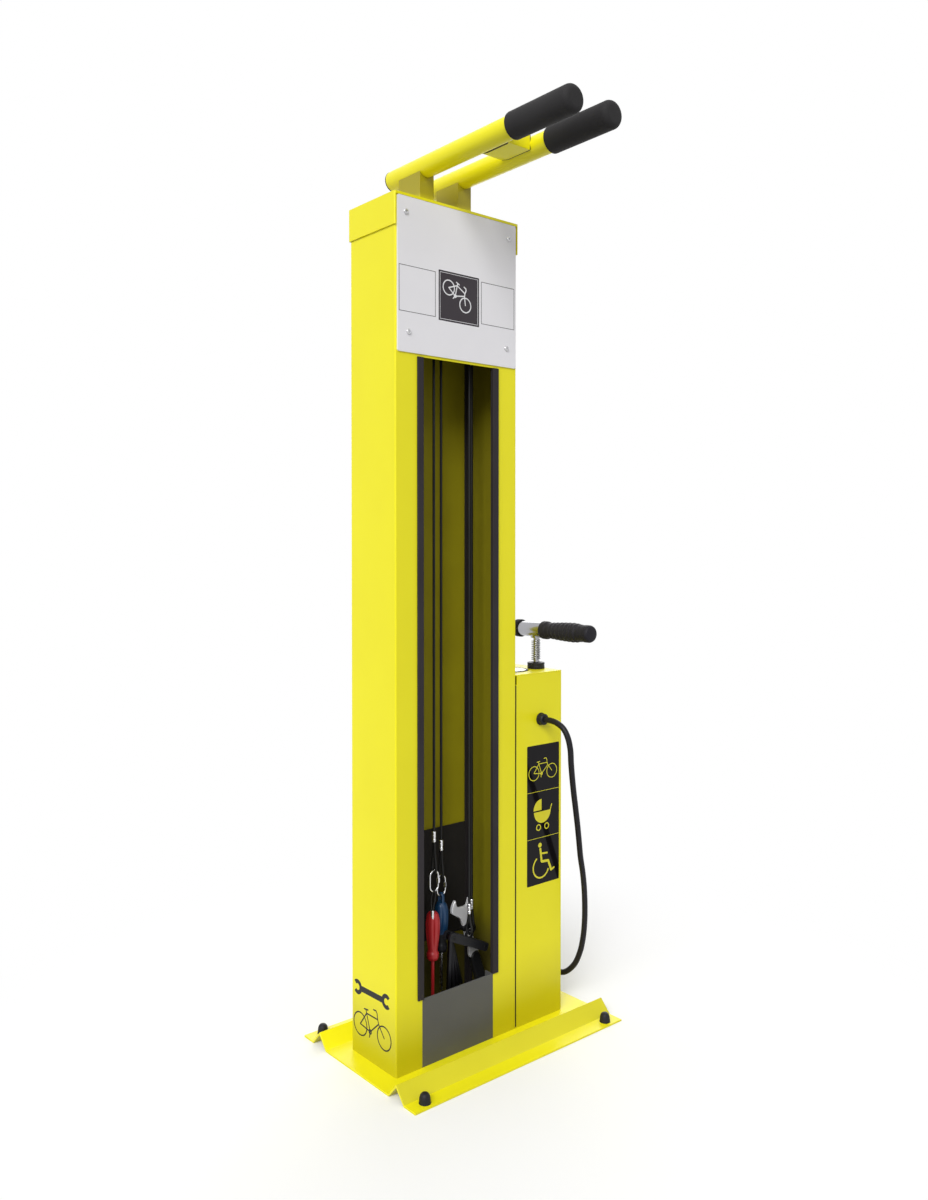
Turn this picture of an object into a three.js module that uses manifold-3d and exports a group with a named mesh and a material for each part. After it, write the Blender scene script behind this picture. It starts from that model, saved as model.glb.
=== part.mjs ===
// A public bicycle repair station. A floor-standing column of folded sheet steel has two
// arms that a bicycle hangs on, tools on steel cables behind its open front, an
// information plate, and a floor pump with a gauge in a box at its side.
//
// Millimetres, +Z up. Sizes and places are measured from the column's left front foot:
// X runs right along the front, Y towards the rear, and Z up from the top of the base
// plate. The last group moves that point so that the part's own origin is the middle of
// the base plate's underside.
import * as THREE from "three";
import { mergeVertices } from "three/addons/utils/BufferGeometryUtils.js";
import Module from "manifold-3d";

const wasm = await Module();
wasm.setup();

// Clearance between pieces that seat on each other, overrun of a cut, and facets of a
// large, a small and a tiny round piece.
const fit = 0.3;
const overrun = 1;
const roundFacets = 28;
const smallFacets = 16;
const tinyFacets = 10;

// Base plate: one sheet, folded into a sharp ridge and a foot flange at front and rear.
const base = {
  length: 447,
  sheet: 3,
  flatDepth: 170,
  frontMargin: 27,
  sideMargin: 35,
  ridgeRun: 20,
  ridgeRise: 22,
  flange: 27,
};
const anchor = {
  endDistance: 28,
  stud: 10,
  hole: 11,
  washer: 20.8,
  washerHeight: 1.1,
  cap: 17.4,
  height: 17.5,
  dome: 6,
};

// Column and its top cap.
const column = {
  width: 250,
  depth: 120,
  height: 1348,
  sheet: 2,
  bend: 2.5,
  windowMargin: 51,
  windowTop: 1106,
};
const cap = { sheet: 2, skirt: 50, frontLip: 4 };
const sill = { height: 108, wing: 18 };
const trim = { width: 12, wall: 2, thickness: 8, rounding: 1.5 };
const mat = { bottom: 140, top: 330, thickness: 3 };
const seal = { width: 11.5, depth: 8, thickness: 2.5 };

// Information plate and its screws.
const sign = {
  margin: 3,
  bottom: 1110,
  sheet: 2,
  corner: 3,
};
const signScrew = {
  head: 9,
  headHeight: 2.5,
  shank: 5,
  hole: 5.6,
  shankLength: 9,
  lowHeight: 1141,
  highHeight: 1322,
  lowMargin: 24,
  highMargin: 19,
};

// Hanging arms: steel tube with a rubber sleeve in front and a plug behind.
const arm = {
  spacing: 78,
  axisRise: 65.5,
  diameter: 33.7,
  wall: 2.6,
  rear: 120,
  front: -287,
};
const armAxis = column.height + cap.sheet + arm.axisRise;
const sleeve = { diameter: 40, rear: -170, endWall: 4, endRounding: 9, rearRounding: 1.5 };
const plug = { flange: 2.5, stub: 16, stubClearance: 0.4, rim: 1 };
const post = { width: 28, depth: 56, front: 32, wall: 2.5 };
const bridge = {
  sheet: 3,
  drop: 10,
  rear: -77,
  flatRear: -92,
  front: -140,
  rearRise: 3,
  frontRise: 23,
};

// Pump box, its lid, and the gauge let into the lid.
const box = { width: 110, height: 596, sheet: 2, bend: 2.5, returnFlange: 14, lid: 2 };
const boxLeft = column.width + fit;
const boxRight = column.width + box.width;
const notch = { width: 3, height: 15 };
const gauge = {
  inset: 39.2,
  back: 58,
  bezel: 66,
  bezelHeight: 1.2,
  body: 60,
  bodyDepth: 30,
  window: 52,
  windowDepth: 7.2,
  glass: 56,
  glassThickness: 1.5,
  ledge: 2,
  dialThickness: 1,
  hub: 5,
  hubHeight: 2.4,
  needleWidth: 1.6,
  needleThickness: 0.8,
  needleReach: 21,
  needleTail: 7,
  needleLift: 1,
};

// Floor pump.
const pump = {
  inset: 91.4,
  back: 45.8,
  barrel: 30,
  barrelWall: 1.5,
  barrelBottom: 6,
  pistonHeight: 14,
  pistonGap: 0.3,
  pistonLift: 4,
  rod: 10,
  collar: 30.5,
  collarHeight: 11,
  collarStub: 20,
  collarBore: 10.8,
  rodSocket: 11,
};
const spring = { length: 42.9, outer: 16.6, wire: 1.9, pitch: 3.1, steps: 8, sides: 5 };
const handle = {
  connector: 26.5,
  hubLength: 1.5,
  hub: 19,
  front: 26.7,
  rear: 80.5,
  bar: 16,
  barInset: 6,
};
const grip = {
  length: 115,
  endFlange: 29.5,
  innerFlange: 31.5,
  neck: 27,
  belly: 33,
  groove: 28.4,
  boreClearance: 0.4,
  endWall: 4,
};

// Hose, its gland, the parked pump head, its lever and its clip.
const gland = {
  inset: 57.7,
  belowLid: 78,
  diameter: 19.4,
  length: 11.7,
  flange: 21.4,
  flangeThickness: 2.5,
};
const glandHeight = box.height - gland.belowLid;
const glandX = boxLeft + gland.inset;
const hose = { diameter: 10, sides: 10, steps: 76 };
const head = {
  standOff: 19,
  back: 75,
  bottom: 374,
  diameter: 22,
  height: 58,
  barb: 13,
  barbHeight: 11.7,
  nozzle: 18,
  nozzleReach: 22,
  nozzleBore: 8,
  nozzleDepth: 14,
  nozzleDrop: 15,
  earHeight: 14,
  earThickness: 4,
};
const headX = boxRight + head.standOff;
const lever = { thickness: 8, width: 13, length: 48, pivotHeight: 8, finger: 3, pin: 3 };
const clip = {
  wall: 2.5,
  height: 14,
  bottom: 1,
  mouth: 15,
  neck: 12,
  plate: 3,
  plateHeight: 40,
  plateWidth: 36,
};

// Tool cables: a shelf plate carries their stop ends, and each hangs straight down to a
// crimped ferrule and an eye.
const shelf = { height: 1286, sheet: 4, front: 20, rear: 96, wing: 24, hole: 5.4 };
const cable = {
  diameter: 4.5,
  sides: 8,
  stop: 9,
  stopLength: 12,
  ferrule: 6.5,
  ferruleLength: 19,
  eyeHalfWidth: 7,
  eyeSteps: 16,
};
// Places of the four cables: across, back, and the heights of the eye's lowest centre
// point and of the ferrule's lower end.
const middle = column.width / 2;
const flatCable = { across: middle - 11, back: 50, eye: 280, ferrule: 327 };
const crossCable = { across: middle + 17, back: 66, eye: 262.7, ferrule: 308 };
const spannerCable = { across: middle + 80.5, back: 62, eye: 165, ferrule: 196 };
const hexCable = { across: middle + 52, back: 35, eye: 169.5, ferrule: 202 };
const cables = [flatCable, crossCable, spannerCable, hexCable];

// Hanger of a screwdriver: a snap ring with a short lanyard and its ferrule.
const link = {
  wire: 3,
  width: 20,
  height: 37,
  lanyard: 3,
  lanyardLength: 29.5,
  lanyardHalfWidth: 5,
  ferrule: 6,
  ferruleLength: 14,
  ringSteps: 24,
  loopSteps: 14,
  sides: 8,
};
const driver = {
  handle: 23,
  handleLength: 82,
  shaft: 5.5,
  shaftLength: 100,
  tip: 7,
  tipThickness: 1.2,
  tipLength: 12,
  socket: 18,
  cordSocket: 7,
  tab: 13,
  tabLength: 18,
  tabThickness: 6,
  tabHole: 7,
  tabRim: 3.5,
};
const spanner = {
  tilt: 18.5,
  thickness: 8,
  headWidth: 38,
  headCentre: 41,
  jaw: 19,
  jawFloor: 3,
  jawTurn: 8,
  taperTop: 30,
  taperLength: 24,
  shank: 15,
  reachDown: 118,
  boss: 22,
  bossLength: 14,
  grip: 20,
  gripThickness: 12,
  gripLength: 74,
  lug: 12,
};
// Lug that a hanging tool has for the eye of its cable.
const lug = { hole: 9.6, rim: 3.5, thickness: 3, seatGap: 1.2 };
const hexSet = {
  tilt: 25,
  length: 90,
  width: 14,
  thickness: 18,
  cheek: 4,
  spine: 3,
  endWall: 8,
  offset: 7,
  pivotInset: 9,
  pivotPin: 5,
  keyLength: 86,
  keys: [
    { size: 9, lean: -3 },
    { size: 8, lean: 4 },
    { size: 7, lean: 10 },
    { size: 6, lean: 15 },
  ],
  hub: 13,
};

// Route of the hose's centre line, from the gland to the pump head's barb. It leaves
// square to the box, droops under its own weight, turns under and rises along the box.
// The first points count from the gland's centre, the last from the head's foot.
const hoseFall = [
  [0, -12, 0],
  [0, -27, 0],
  [0, -42, -3],
  [1, -54, -10],
  [3, -62, -24],
  [6, -65, -44],
  [11, -62, -68],
  [19, -57, -94],
  [28, -52, -122],
  [37, -48, -152],
  [46, -44, -183],
  [54, -40, -212],
  [62, -36, -242],
  [71, -33, -272],
  [79, -29, -301],
  [84, -26, -332],
  [88, -22, -362],
];
const hoseRise = [
  [19, -92, -249],
  [19, -84, -280],
  [17, -70, -308],
  [12, -48, -326],
  [6, -23, -321],
  [2, -6, -296],
  [0, 0, -262],
  [0, 0, -214],
  [0, 0, -164],
  [0, 0, -114],
  [0, 0, -64],
  [0, 0, -38],
  [0, 0, -12],
];
const hoseRoute = [
  ...hoseFall.map(([x, y, z]) => [glandX + x, y, glandHeight + z]),
  ...hoseRise.map(([x, y, z]) => [headX + x, head.back + y, head.bottom + z]),
];

// Finishes.
const finish = {
  yellow: new THREE.MeshStandardMaterial({ color: 0xe6dc28, roughness: 0.45, metalness: 0 }),
  graphite: new THREE.MeshStandardMaterial({ color: 0x555452, roughness: 0.6, metalness: 0 }),
  rubber: new THREE.MeshStandardMaterial({ color: 0x2b2a2c, roughness: 0.8, metalness: 0 }),
  plate: new THREE.MeshStandardMaterial({ color: 0xe8e6ea, roughness: 0.35, metalness: 0.1 }),
  steel: new THREE.MeshStandardMaterial({ color: 0xb8b8ba, roughness: 0.35, metalness: 1 }),
  chrome: new THREE.MeshStandardMaterial({ color: 0xd8d8da, roughness: 0.12, metalness: 1 }),
  blackPlastic: new THREE.MeshStandardMaterial({ color: 0x1c1b1d, roughness: 0.5, metalness: 0 }),
  redPlastic: new THREE.MeshStandardMaterial({ color: 0xb02430, roughness: 0.4, metalness: 0 }),
  bluePlastic: new THREE.MeshStandardMaterial({ color: 0x14487a, roughness: 0.4, metalness: 0 }),
  dial: new THREE.MeshStandardMaterial({ color: 0xf2f2ee, roughness: 0.5, metalness: 0 }),
  glass: new THREE.MeshStandardMaterial({
    color: 0xffffff,
    roughness: 0.05,
    transparent: true,
    opacity: 0.3,
  }),
};

// A closed geometry as a solid. Corners that fell together on an axis are dropped, and a
// shape that came out inside out is turned round.
function toSolid(geometry) {
  const bare = geometry.index ? geometry.toNonIndexed() : geometry.clone();
  bare.deleteAttribute("normal");
  bare.deleteAttribute("uv");
  const merged = mergeVertices(bare);
  const corners = merged.index.array;
  const kept = [];
  for (let i = 0; i < corners.length; i += 3) {
    const [a, b, c] = [corners[i], corners[i + 1], corners[i + 2]];
    if (a !== b && b !== c && c !== a) kept.push(a, b, c);
  }
  const vertProperties = merged.attributes.position.array;
  const made = new wasm.Manifold(
    new wasm.Mesh({ numProp: 3, vertProperties, triVerts: new Uint32Array(kept) }),
  );
  if (made.volume() >= 0) return made;
  kept.reverse();
  return new wasm.Manifold(
    new wasm.Mesh({ numProp: 3, vertProperties, triVerts: new Uint32Array(kept) }),
  );
}

function toGeometry(body) {
  const { vertProperties, triVerts, numProp } = body.getMesh();
  const geometry = new THREE.BufferGeometry();
  const places = new Float32Array((vertProperties.length / numProp) * 3);
  for (let i = 0; i < places.length / 3; i += 1) {
    places.set(vertProperties.subarray(i * numProp, i * numProp + 3), i * 3);
  }
  geometry.setAttribute("position", new THREE.BufferAttribute(places, 3));
  geometry.setIndex(new THREE.BufferAttribute(triVerts, 1));
  return geometry;
}

function join(first, ...others) {
  return toGeometry(others.reduce((body, other) => body.add(toSolid(other)), toSolid(first)));
}

function cut(first, ...tools) {
  return toGeometry(tools.reduce((body, tool) => body.subtract(toSolid(tool)), toSolid(first)));
}

// A block between two corners.
function block([x0, y0, z0], [x1, y1, z1]) {
  const shape = new THREE.BoxGeometry(x1 - x0, y1 - y0, z1 - z0);
  return shape.translate((x0 + x1) / 2, (y0 + y1) / 2, (z0 + z1) / 2);
}

// A profile of [radius, height] points turned about the Z axis.
function turned(profile, facets) {
  const points = profile.map(([radius, height]) => new THREE.Vector2(radius, height));
  return new THREE.LatheGeometry(points, facets).rotateX(Math.PI / 2);
}

// A round bar along Z between two heights.
function bar(diameter, z0, z1, facets) {
  return turned(
    [
      [0, z0],
      [diameter / 2, z0],
      [diameter / 2, z1],
      [0, z1],
    ],
    facets,
  );
}

// Turns a shape made along +Z so that it lies along +Y, or along +X.
const alongY = (geometry) => geometry.rotateX(-Math.PI / 2);
const alongX = (geometry) => geometry.rotateY(Math.PI / 2);

// An outline in the plane of two axes, drawn out along the third.
const planes = {
  xy: [new THREE.Vector3(1, 0, 0), new THREE.Vector3(0, 1, 0), new THREE.Vector3(0, 0, 1)],
  yz: [new THREE.Vector3(0, 1, 0), new THREE.Vector3(0, 0, 1), new THREE.Vector3(1, 0, 0)],
  xz: [new THREE.Vector3(1, 0, 0), new THREE.Vector3(0, 0, 1), new THREE.Vector3(0, -1, 0)],
};

function drawn(shape, plane, from, to) {
  const depth = to - from;
  const solid = new THREE.ExtrudeGeometry(shape, { depth, bevelEnabled: false, curveSegments: 4 });
  solid.applyMatrix4(new THREE.Matrix4().makeBasis(...planes[plane]));
  const start = plane === "xz" ? to : from;
  const axis = { xy: "z", yz: "x", xz: "y" }[plane];
  const shift = new THREE.Vector3();
  shift[axis] = start;
  return solid.translate(shift.x, shift.y, shift.z);
}

function polygon(points) {
  return new THREE.Shape(points.map(([u, v]) => new THREE.Vector2(u, v)));
}

// A rectangle with round corners, whose radii may differ from corner to corner, in the
// order low-low, high-low, high-high, low-high.
function roundedRectangle(u0, v0, u1, v1, radii) {
  const [a, b, c, d] = Array.isArray(radii) ? radii : [radii, radii, radii, radii];
  const quarter = Math.PI / 2;
  const shape = new THREE.Shape();
  shape.moveTo(u0 + a, v0);
  shape.lineTo(u1 - b, v0);
  if (b) shape.absarc(u1 - b, v0 + b, b, -quarter, 0, false);
  shape.lineTo(u1, v1 - c);
  if (c) shape.absarc(u1 - c, v1 - c, c, 0, quarter, false);
  shape.lineTo(u0 + d, v1);
  if (d) shape.absarc(u0 + d, v1 - d, d, quarter, 2 * quarter, false);
  shape.lineTo(u0, v0 + a);
  if (a) shape.absarc(u0 + a, v0 + a, a, 2 * quarter, 3 * quarter, false);
  return shape;
}

// A round tube of few sides along a curve.
function tube(curve, diameter, sides, steps) {
  const section = new THREE.Shape();
  for (let side = 0; side < sides; side += 1) {
    const turn = (2 * Math.PI * side) / sides;
    const [u, v] = [(diameter / 2) * Math.cos(turn), (diameter / 2) * Math.sin(turn)];
    if (side === 0) section.moveTo(u, v);
    else section.lineTo(u, v);
  }
  return new THREE.ExtrudeGeometry(section, { steps, bevelEnabled: false, extrudePath: curve });
}

const curveThrough = (points) =>
  new THREE.CatmullRomCurve3(points.map((point) => new THREE.Vector3(...point)));

// The part's group, with the origin in the middle of the base plate's underside.
const baseFront = -base.frontMargin - 2 * base.ridgeRun - base.flange;
const baseRear = base.flatDepth - base.frontMargin + 2 * base.ridgeRun + base.flange;
const station = new THREE.Group();
station.position.set(
  base.sideMargin - base.length / 2,
  -(baseFront + baseRear) / 2,
  base.sheet,
);

function piece(name, geometry, material) {
  const mesh = new THREE.Mesh(toGeometry(toSolid(geometry)), material);
  mesh.name = name;
  station.add(mesh);
  return mesh;
}

// The base plate's folded section, from its upper and lower outlines.
function basePlate() {
  const { ridgeRun, ridgeRise, sheet } = base;
  const slope = Math.atan2(ridgeRise, ridgeRun);
  const drop = sheet / Math.cos(slope);
  const inset = (drop - sheet) / Math.tan(slope);
  const flatFront = -base.frontMargin;
  const flatRear = base.flatDepth - base.frontMargin;
  const upper = [
    [baseFront, 0],
    [flatFront - 2 * ridgeRun, 0],
    [flatFront - ridgeRun, ridgeRise],
    [flatFront, 0],
    [flatRear, 0],
    [flatRear + ridgeRun, ridgeRise],
    [flatRear + 2 * ridgeRun, 0],
    [baseRear, 0],
  ];
  const lower = [
    [baseRear, -sheet],
    [flatRear + 2 * ridgeRun - inset, -sheet],
    [flatRear + ridgeRun, ridgeRise - drop],
    [flatRear + inset, -sheet],
    [flatFront - inset, -sheet],
    [flatFront - ridgeRun, ridgeRise - drop],
    [flatFront - 2 * ridgeRun + inset, -sheet],
    [baseFront, -sheet],
  ];
  const left = -base.sideMargin;
  const plate = drawn(polygon([...upper, ...lower]), "yz", left, left + base.length);
  const holes = anchorPlaces.map(([x, y]) =>
    bar(anchor.hole, -sheet - overrun, overrun, smallFacets).translate(x, y, 0),
  );
  return cut(plate, ...holes);
}

const anchorPlaces = [
  ["front_left", 0, 0],
  ["front_right", 1, 0],
  ["rear_left", 0, 1],
  ["rear_right", 1, 1],
].map(([, right, rear]) => [
  right
    ? base.length - base.sideMargin - anchor.endDistance
    : anchor.endDistance - base.sideMargin,
  rear ? baseRear - base.flange / 2 : baseFront + base.flange / 2,
]);
const anchorNames = ["front_left", "front_right", "rear_left", "rear_right"];

piece("base_plate", basePlate(), finish.yellow);

// Floor anchors: stud and washer under a black domed cap.
anchorPlaces.forEach(([x, y], i) => {
  const { stud, washer, washerHeight, height, dome } = anchor;
  const radius = anchor.cap / 2;
  const side = height - dome;
  const round = [1, 2, 3].map((step) => {
    const turn = (step * Math.PI) / 8;
    return [radius * Math.cos(turn), side + dome * Math.sin(turn)];
  });
  const profile = [
    [0, -base.sheet],
    [stud / 2, -base.sheet],
    [stud / 2, 0],
    [washer / 2, 0],
    [washer / 2, washerHeight],
    [radius, washerHeight],
    [radius, side],
    ...round,
    [0, height],
  ];
  const bolt = turned(profile, smallFacets).translate(x, y, 0);
  piece(`anchor_${anchorNames[i]}`, bolt, finish.blackPlastic);
});

// Column: a folded shell, open in front between two flanges up to the header that
// carries the information plate.
const screwPlaces = [
  ["low_left", signScrew.lowMargin - column.width / 2, signScrew.lowHeight],
  ["low_right", column.width / 2 - signScrew.lowMargin, signScrew.lowHeight],
  ["high_left", signScrew.highMargin - column.width / 2, signScrew.highHeight],
  ["high_right", column.width / 2 - signScrew.highMargin, signScrew.highHeight],
].map(([name, offset, height]) => [name, column.width / 2 + offset, height]);

function columnShell() {
  const { width, depth, height, sheet, bend } = column;
  const outside = drawn(roundedRectangle(0, 0, width, depth, bend), "xy", 0, height);
  const inside = drawn(
    roundedRectangle(sheet, sheet, width - sheet, depth - sheet, bend - sheet),
    "xy",
    -overrun,
    height + overrun,
  );
  const windowCut = block(
    [column.windowMargin, -overrun, -overrun],
    [width - column.windowMargin, sheet + overrun, column.windowTop],
  );
  const holes = screwPlaces.map(([, x, z]) =>
    alongY(bar(signScrew.hole, -overrun, sheet + overrun, tinyFacets)).translate(x, 0, z),
  );
  return cut(outside, inside, windowCut, ...holes);
}
piece("column_shell", columnShell(), finish.yellow);

function topCap() {
  const { sheet, skirt, frontLip } = cap;
  const side = fit + sheet;
  const top = column.height + sheet;
  const { width, depth } = column;
  const outer = drawn(
    roundedRectangle(-side, -side, width + side, depth + side, column.bend),
    "xy",
    top - skirt,
    top,
  );
  const inner = block(
    [-fit, -fit, top - skirt - overrun],
    [width + fit, depth + fit, column.height],
  );
  const frontCut = block(
    [-fit, -side - overrun, top - skirt - overrun],
    [width + fit, overrun, top - frontLip],
  );
  return cut(outer, inner, frontCut);
}
piece("top_cap", topCap(), finish.yellow);

// Information plate, screwed to the header just under the cap's front lip.
function signPlate() {
  const top = column.height + cap.sheet - cap.frontLip - fit;
  const outline = roundedRectangle(
    sign.margin,
    sign.bottom,
    column.width - sign.margin,
    top,
    sign.corner,
  );
  const plate = drawn(outline, "xz", -sign.sheet, 0);
  const holes = screwPlaces.map(([, x, z]) =>
    alongY(bar(signScrew.hole, -sign.sheet - overrun, overrun, tinyFacets)).translate(x, 0, z),
  );
  return cut(plate, ...holes);
}
piece("sign_plate", signPlate(), finish.plate);

screwPlaces.forEach(([name, x, z]) => {
  const face = -sign.sheet;
  const { head, headHeight, shank, shankLength } = signScrew;
  const profile = [
    [0, face - headHeight],
    [head / 4, face - headHeight],
    [(head * 0.8) / 2, face - headHeight * 0.7],
    [head / 2, face - headHeight * 0.2],
    [head / 2, face],
    [shank / 2, face],
    [shank / 2, face + shankLength],
    [0, face + shankLength],
  ];
  const screw = alongY(turned(profile, tinyFacets)).translate(x, 0, z);
  piece(`sign_screw_${name}`, screw, finish.steel);
});

// Rubber edge strips: a channel that grips each long edge of the window.
function edgeTrim() {
  const { width, wall, thickness, rounding } = trim;
  const edge = column.windowMargin;
  const gap = fit;
  const middle = column.sheet / 2;
  const body = roundedRectangle(
    edge + wall - width,
    middle - thickness / 2,
    edge + wall,
    middle + thickness / 2,
    rounding,
  );
  const strip = drawn(body, "xy", sill.height, column.windowTop - fit);
  const slot = block(
    [edge + wall - width - overrun, -gap, sill.height - overrun],
    [edge + gap, column.sheet + gap, column.windowTop + overrun],
  );
  return cut(strip, slot);
}
const leftTrim = edgeTrim();
piece("edge_trim_left", leftTrim, finish.rubber);
piece(
  "edge_trim_right",
  leftTrim.clone().scale(-1, 1, 1).translate(column.width, 0, 0),
  finish.rubber,
);

// Sill cover: a plate across the window's foot, with a wing folded back at each side.
function sillCover() {
  const left = column.windowMargin + fit;
  const right = column.width - column.windowMargin - fit;
  const { sheet } = column;
  const section = polygon([
    [left, 0],
    [right, 0],
    [right, sill.wing],
    [right - sheet, sill.wing],
    [right - sheet, sheet],
    [left + sheet, sheet],
    [left + sheet, sill.wing],
    [left, sill.wing],
  ]);
  return drawn(section, "xy", 0, sill.height - fit);
}
piece("sill_cover", sillCover(), finish.graphite);

// Rubber mat behind the tools and the corner seals beside it.
const wallInside = column.depth - column.sheet;
const sideInside = column.sheet + fit;
piece(
  "back_mat",
  block(
    [sideInside + seal.width + fit, wallInside - fit - mat.thickness, mat.bottom],
    [column.width - sideInside - seal.width - fit, wallInside - fit, mat.top],
  ),
  finish.rubber,
);

function cornerSeal() {
  const corner = column.width - sideInside;
  const back = wallInside - fit;
  const { width, depth, thickness } = seal;
  const section = polygon([
    [corner - width, back - thickness],
    [corner - thickness, back - thickness],
    [corner - thickness, back - depth],
    [corner, back - depth],
    [corner, back],
    [corner - width, back],
  ]);
  return drawn(section, "xy", 0, shelf.height - shelf.wing - fit);
}
const rightSeal = cornerSeal();
piece("corner_seal_right", rightSeal, finish.rubber);
piece(
  "corner_seal_left",
  rightSeal.clone().scale(-1, 1, 1).translate(column.width, 0, 0),
  finish.rubber,
);

// Hanging arms. Each rests in the coped top of its post.
const armPlaces = [
  ["left", column.width / 2 - arm.spacing / 2],
  ["right", column.width / 2 + arm.spacing / 2],
];
const armBore = arm.diameter - 2 * arm.wall;

function armTube() {
  const bore = bar(armBore, arm.front - overrun, arm.rear + overrun, roundFacets);
  return cut(alongY(bar(arm.diameter, arm.front, arm.rear, roundFacets)), alongY(bore));
}

function armSleeve() {
  const radius = sleeve.diameter / 2;
  const inner = arm.diameter / 2 + fit;
  const floor = arm.front - fit;
  const end = floor - sleeve.endWall;
  const { endRounding, rearRounding, rear } = sleeve;
  const nose = [0, 1, 2, 3, 4].map((step) => {
    const turn = (step * Math.PI) / 8;
    return [
      radius - endRounding + endRounding * Math.sin(turn),
      end + endRounding - endRounding * Math.cos(turn),
    ];
  });
  const profile = [
    [0, end],
    ...nose,
    [radius, rear - rearRounding],
    [radius - rearRounding, rear],
    [inner, rear],
    [inner, floor],
    [0, floor],
  ];
  return alongY(turned(profile, roundFacets));
}

function armPlug() {
  const face = arm.rear;
  const radius = arm.diameter / 2;
  const stub = armBore / 2 - plug.stubClearance;
  const profile = [
    [0, face - plug.stub],
    [stub, face - plug.stub],
    [stub, face],
    [radius, face],
    [radius, face + plug.flange - plug.rim],
    [radius - plug.rim, face + plug.flange],
    [0, face + plug.flange],
  ];
  return alongY(turned(profile, roundFacets));
}

function armPost() {
  const foot = column.height + cap.sheet;
  const { width, depth, front, wall } = post;
  const outer = block([-width / 2, front, foot], [width / 2, front + depth, armAxis]);
  const inner = block(
    [-width / 2 + wall, front + wall, foot - overrun],
    [width / 2 - wall, front + depth - wall, armAxis + overrun],
  );
  const saddle = alongY(
    bar(arm.diameter + 2 * fit, front - overrun, front + depth + overrun, roundFacets),
  ).translate(0, 0, armAxis);
  return cut(outer, inner, saddle);
}

armPlaces.forEach(([side, x]) => {
  const lifted = (geometry) => geometry.translate(x, 0, armAxis);
  piece(`arm_tube_${side}`, lifted(armTube()), finish.yellow);
  piece(`arm_sleeve_${side}`, lifted(armSleeve()), finish.rubber);
  piece(`arm_plug_${side}`, lifted(armPlug()), finish.blackPlastic);
  piece(`arm_post_${side}`, armPost().translate(x, 0, 0), finish.yellow);
});

// Bridge between the arms: a folded plate whose front flank stops the saddle.
function armBridge() {
  const { sheet, drop, rear, flatRear, front, rearRise, frontRise } = bridge;
  const bottom = armAxis - drop;
  const half = arm.spacing / 2 - arm.diameter / 2 - fit;
  const middle = column.width / 2;
  const section = polygon([
    [rear, bottom + rearRise],
    [rear, bottom + rearRise + sheet],
    [flatRear, bottom + sheet],
    [front + sheet, bottom + sheet],
    [front + sheet, bottom + frontRise],
    [front, bottom + frontRise],
    [front, bottom],
    [flatRear, bottom],
  ]);
  return drawn(section, "yz", middle - half, middle + half);
}
piece("arm_bridge", armBridge(), finish.yellow);

// Pump box: a folded channel against the column's right side, closed by a flat lid.

function pumpBox() {
  const { height, sheet, bend, returnFlange } = box;
  const depth = column.depth;
  const outside = drawn(roundedRectangle(boxLeft, 0, boxRight, depth, bend), "xy", 0, height);
  const inside = drawn(
    roundedRectangle(
      boxLeft + sheet,
      sheet,
      boxRight - sheet,
      depth - sheet,
      bend - sheet,
    ),
    "xy",
    -overrun,
    height + overrun,
  );
  const openSide = block(
    [boxLeft - overrun, returnFlange, -overrun],
    [boxLeft + sheet + overrun, depth - returnFlange, height + overrun],
  );
  const cornerNotch = block(
    [boxLeft - overrun, -overrun, height - notch.height],
    [boxLeft + notch.width, returnFlange, height + overrun],
  );
  const hoseHole = alongY(
    bar(gland.diameter, -overrun, sheet + overrun, smallFacets),
  ).translate(glandX, 0, glandHeight);
  return cut(outside, inside, openSide, cornerNotch, hoseHole);
}
piece("pump_box", pumpBox(), finish.yellow);

const lidTop = box.height + box.lid;
const [gaugeX, gaugeY] = [boxLeft + gauge.inset, gauge.back];
const [pumpX, pumpY] = [boxLeft + pump.inset, pump.back];
const barrelBore = pump.barrel - 2 * pump.barrelWall;

function pumpLid() {
  const outline = roundedRectangle(boxLeft, 0, boxRight, column.depth, box.bend);
  const plate = drawn(outline, "xy", box.height, lidTop);
  const gaugeHole = bar(
    gauge.body + 2 * fit,
    box.height - overrun,
    lidTop + overrun,
    roundFacets,
  ).translate(gaugeX, gaugeY, 0);
  const pumpHole = bar(
    barrelBore,
    box.height - overrun,
    lidTop + overrun,
    smallFacets,
  ).translate(pumpX, pumpY, 0);
  return cut(plate, gaugeHole, pumpHole);
}
piece("pump_box_lid", pumpLid(), finish.yellow);

// Pressure gauge: case with its bezel, dial, needle and glass.
const dialFloor = lidTop + gauge.bezelHeight - gauge.windowDepth;

function gaugeCase() {
  const bottom = lidTop - gauge.bodyDepth;
  const rim = lidTop + gauge.bezelHeight;
  const profile = [
    [0, bottom],
    [gauge.body / 2, bottom],
    [gauge.body / 2, lidTop],
    [gauge.bezel / 2, lidTop],
    [gauge.bezel / 2, rim - gauge.ledge / 2],
    [gauge.bezel / 2 - gauge.ledge / 2, rim],
    [gauge.glass / 2 + fit, rim],
    [gauge.glass / 2 + fit, rim - gauge.ledge],
    [gauge.window / 2, rim - gauge.ledge],
    [gauge.window / 2, dialFloor],
    [0, dialFloor],
  ];
  return turned(profile, roundFacets).translate(gaugeX, gaugeY, 0);
}
piece("gauge_case", gaugeCase(), finish.blackPlastic);
piece(
  "gauge_dial",
  bar(gauge.window - 2 * fit, dialFloor, dialFloor + gauge.dialThickness, roundFacets).translate(
    gaugeX,
    gaugeY,
    0,
  ),
  finish.dial,
);

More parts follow.
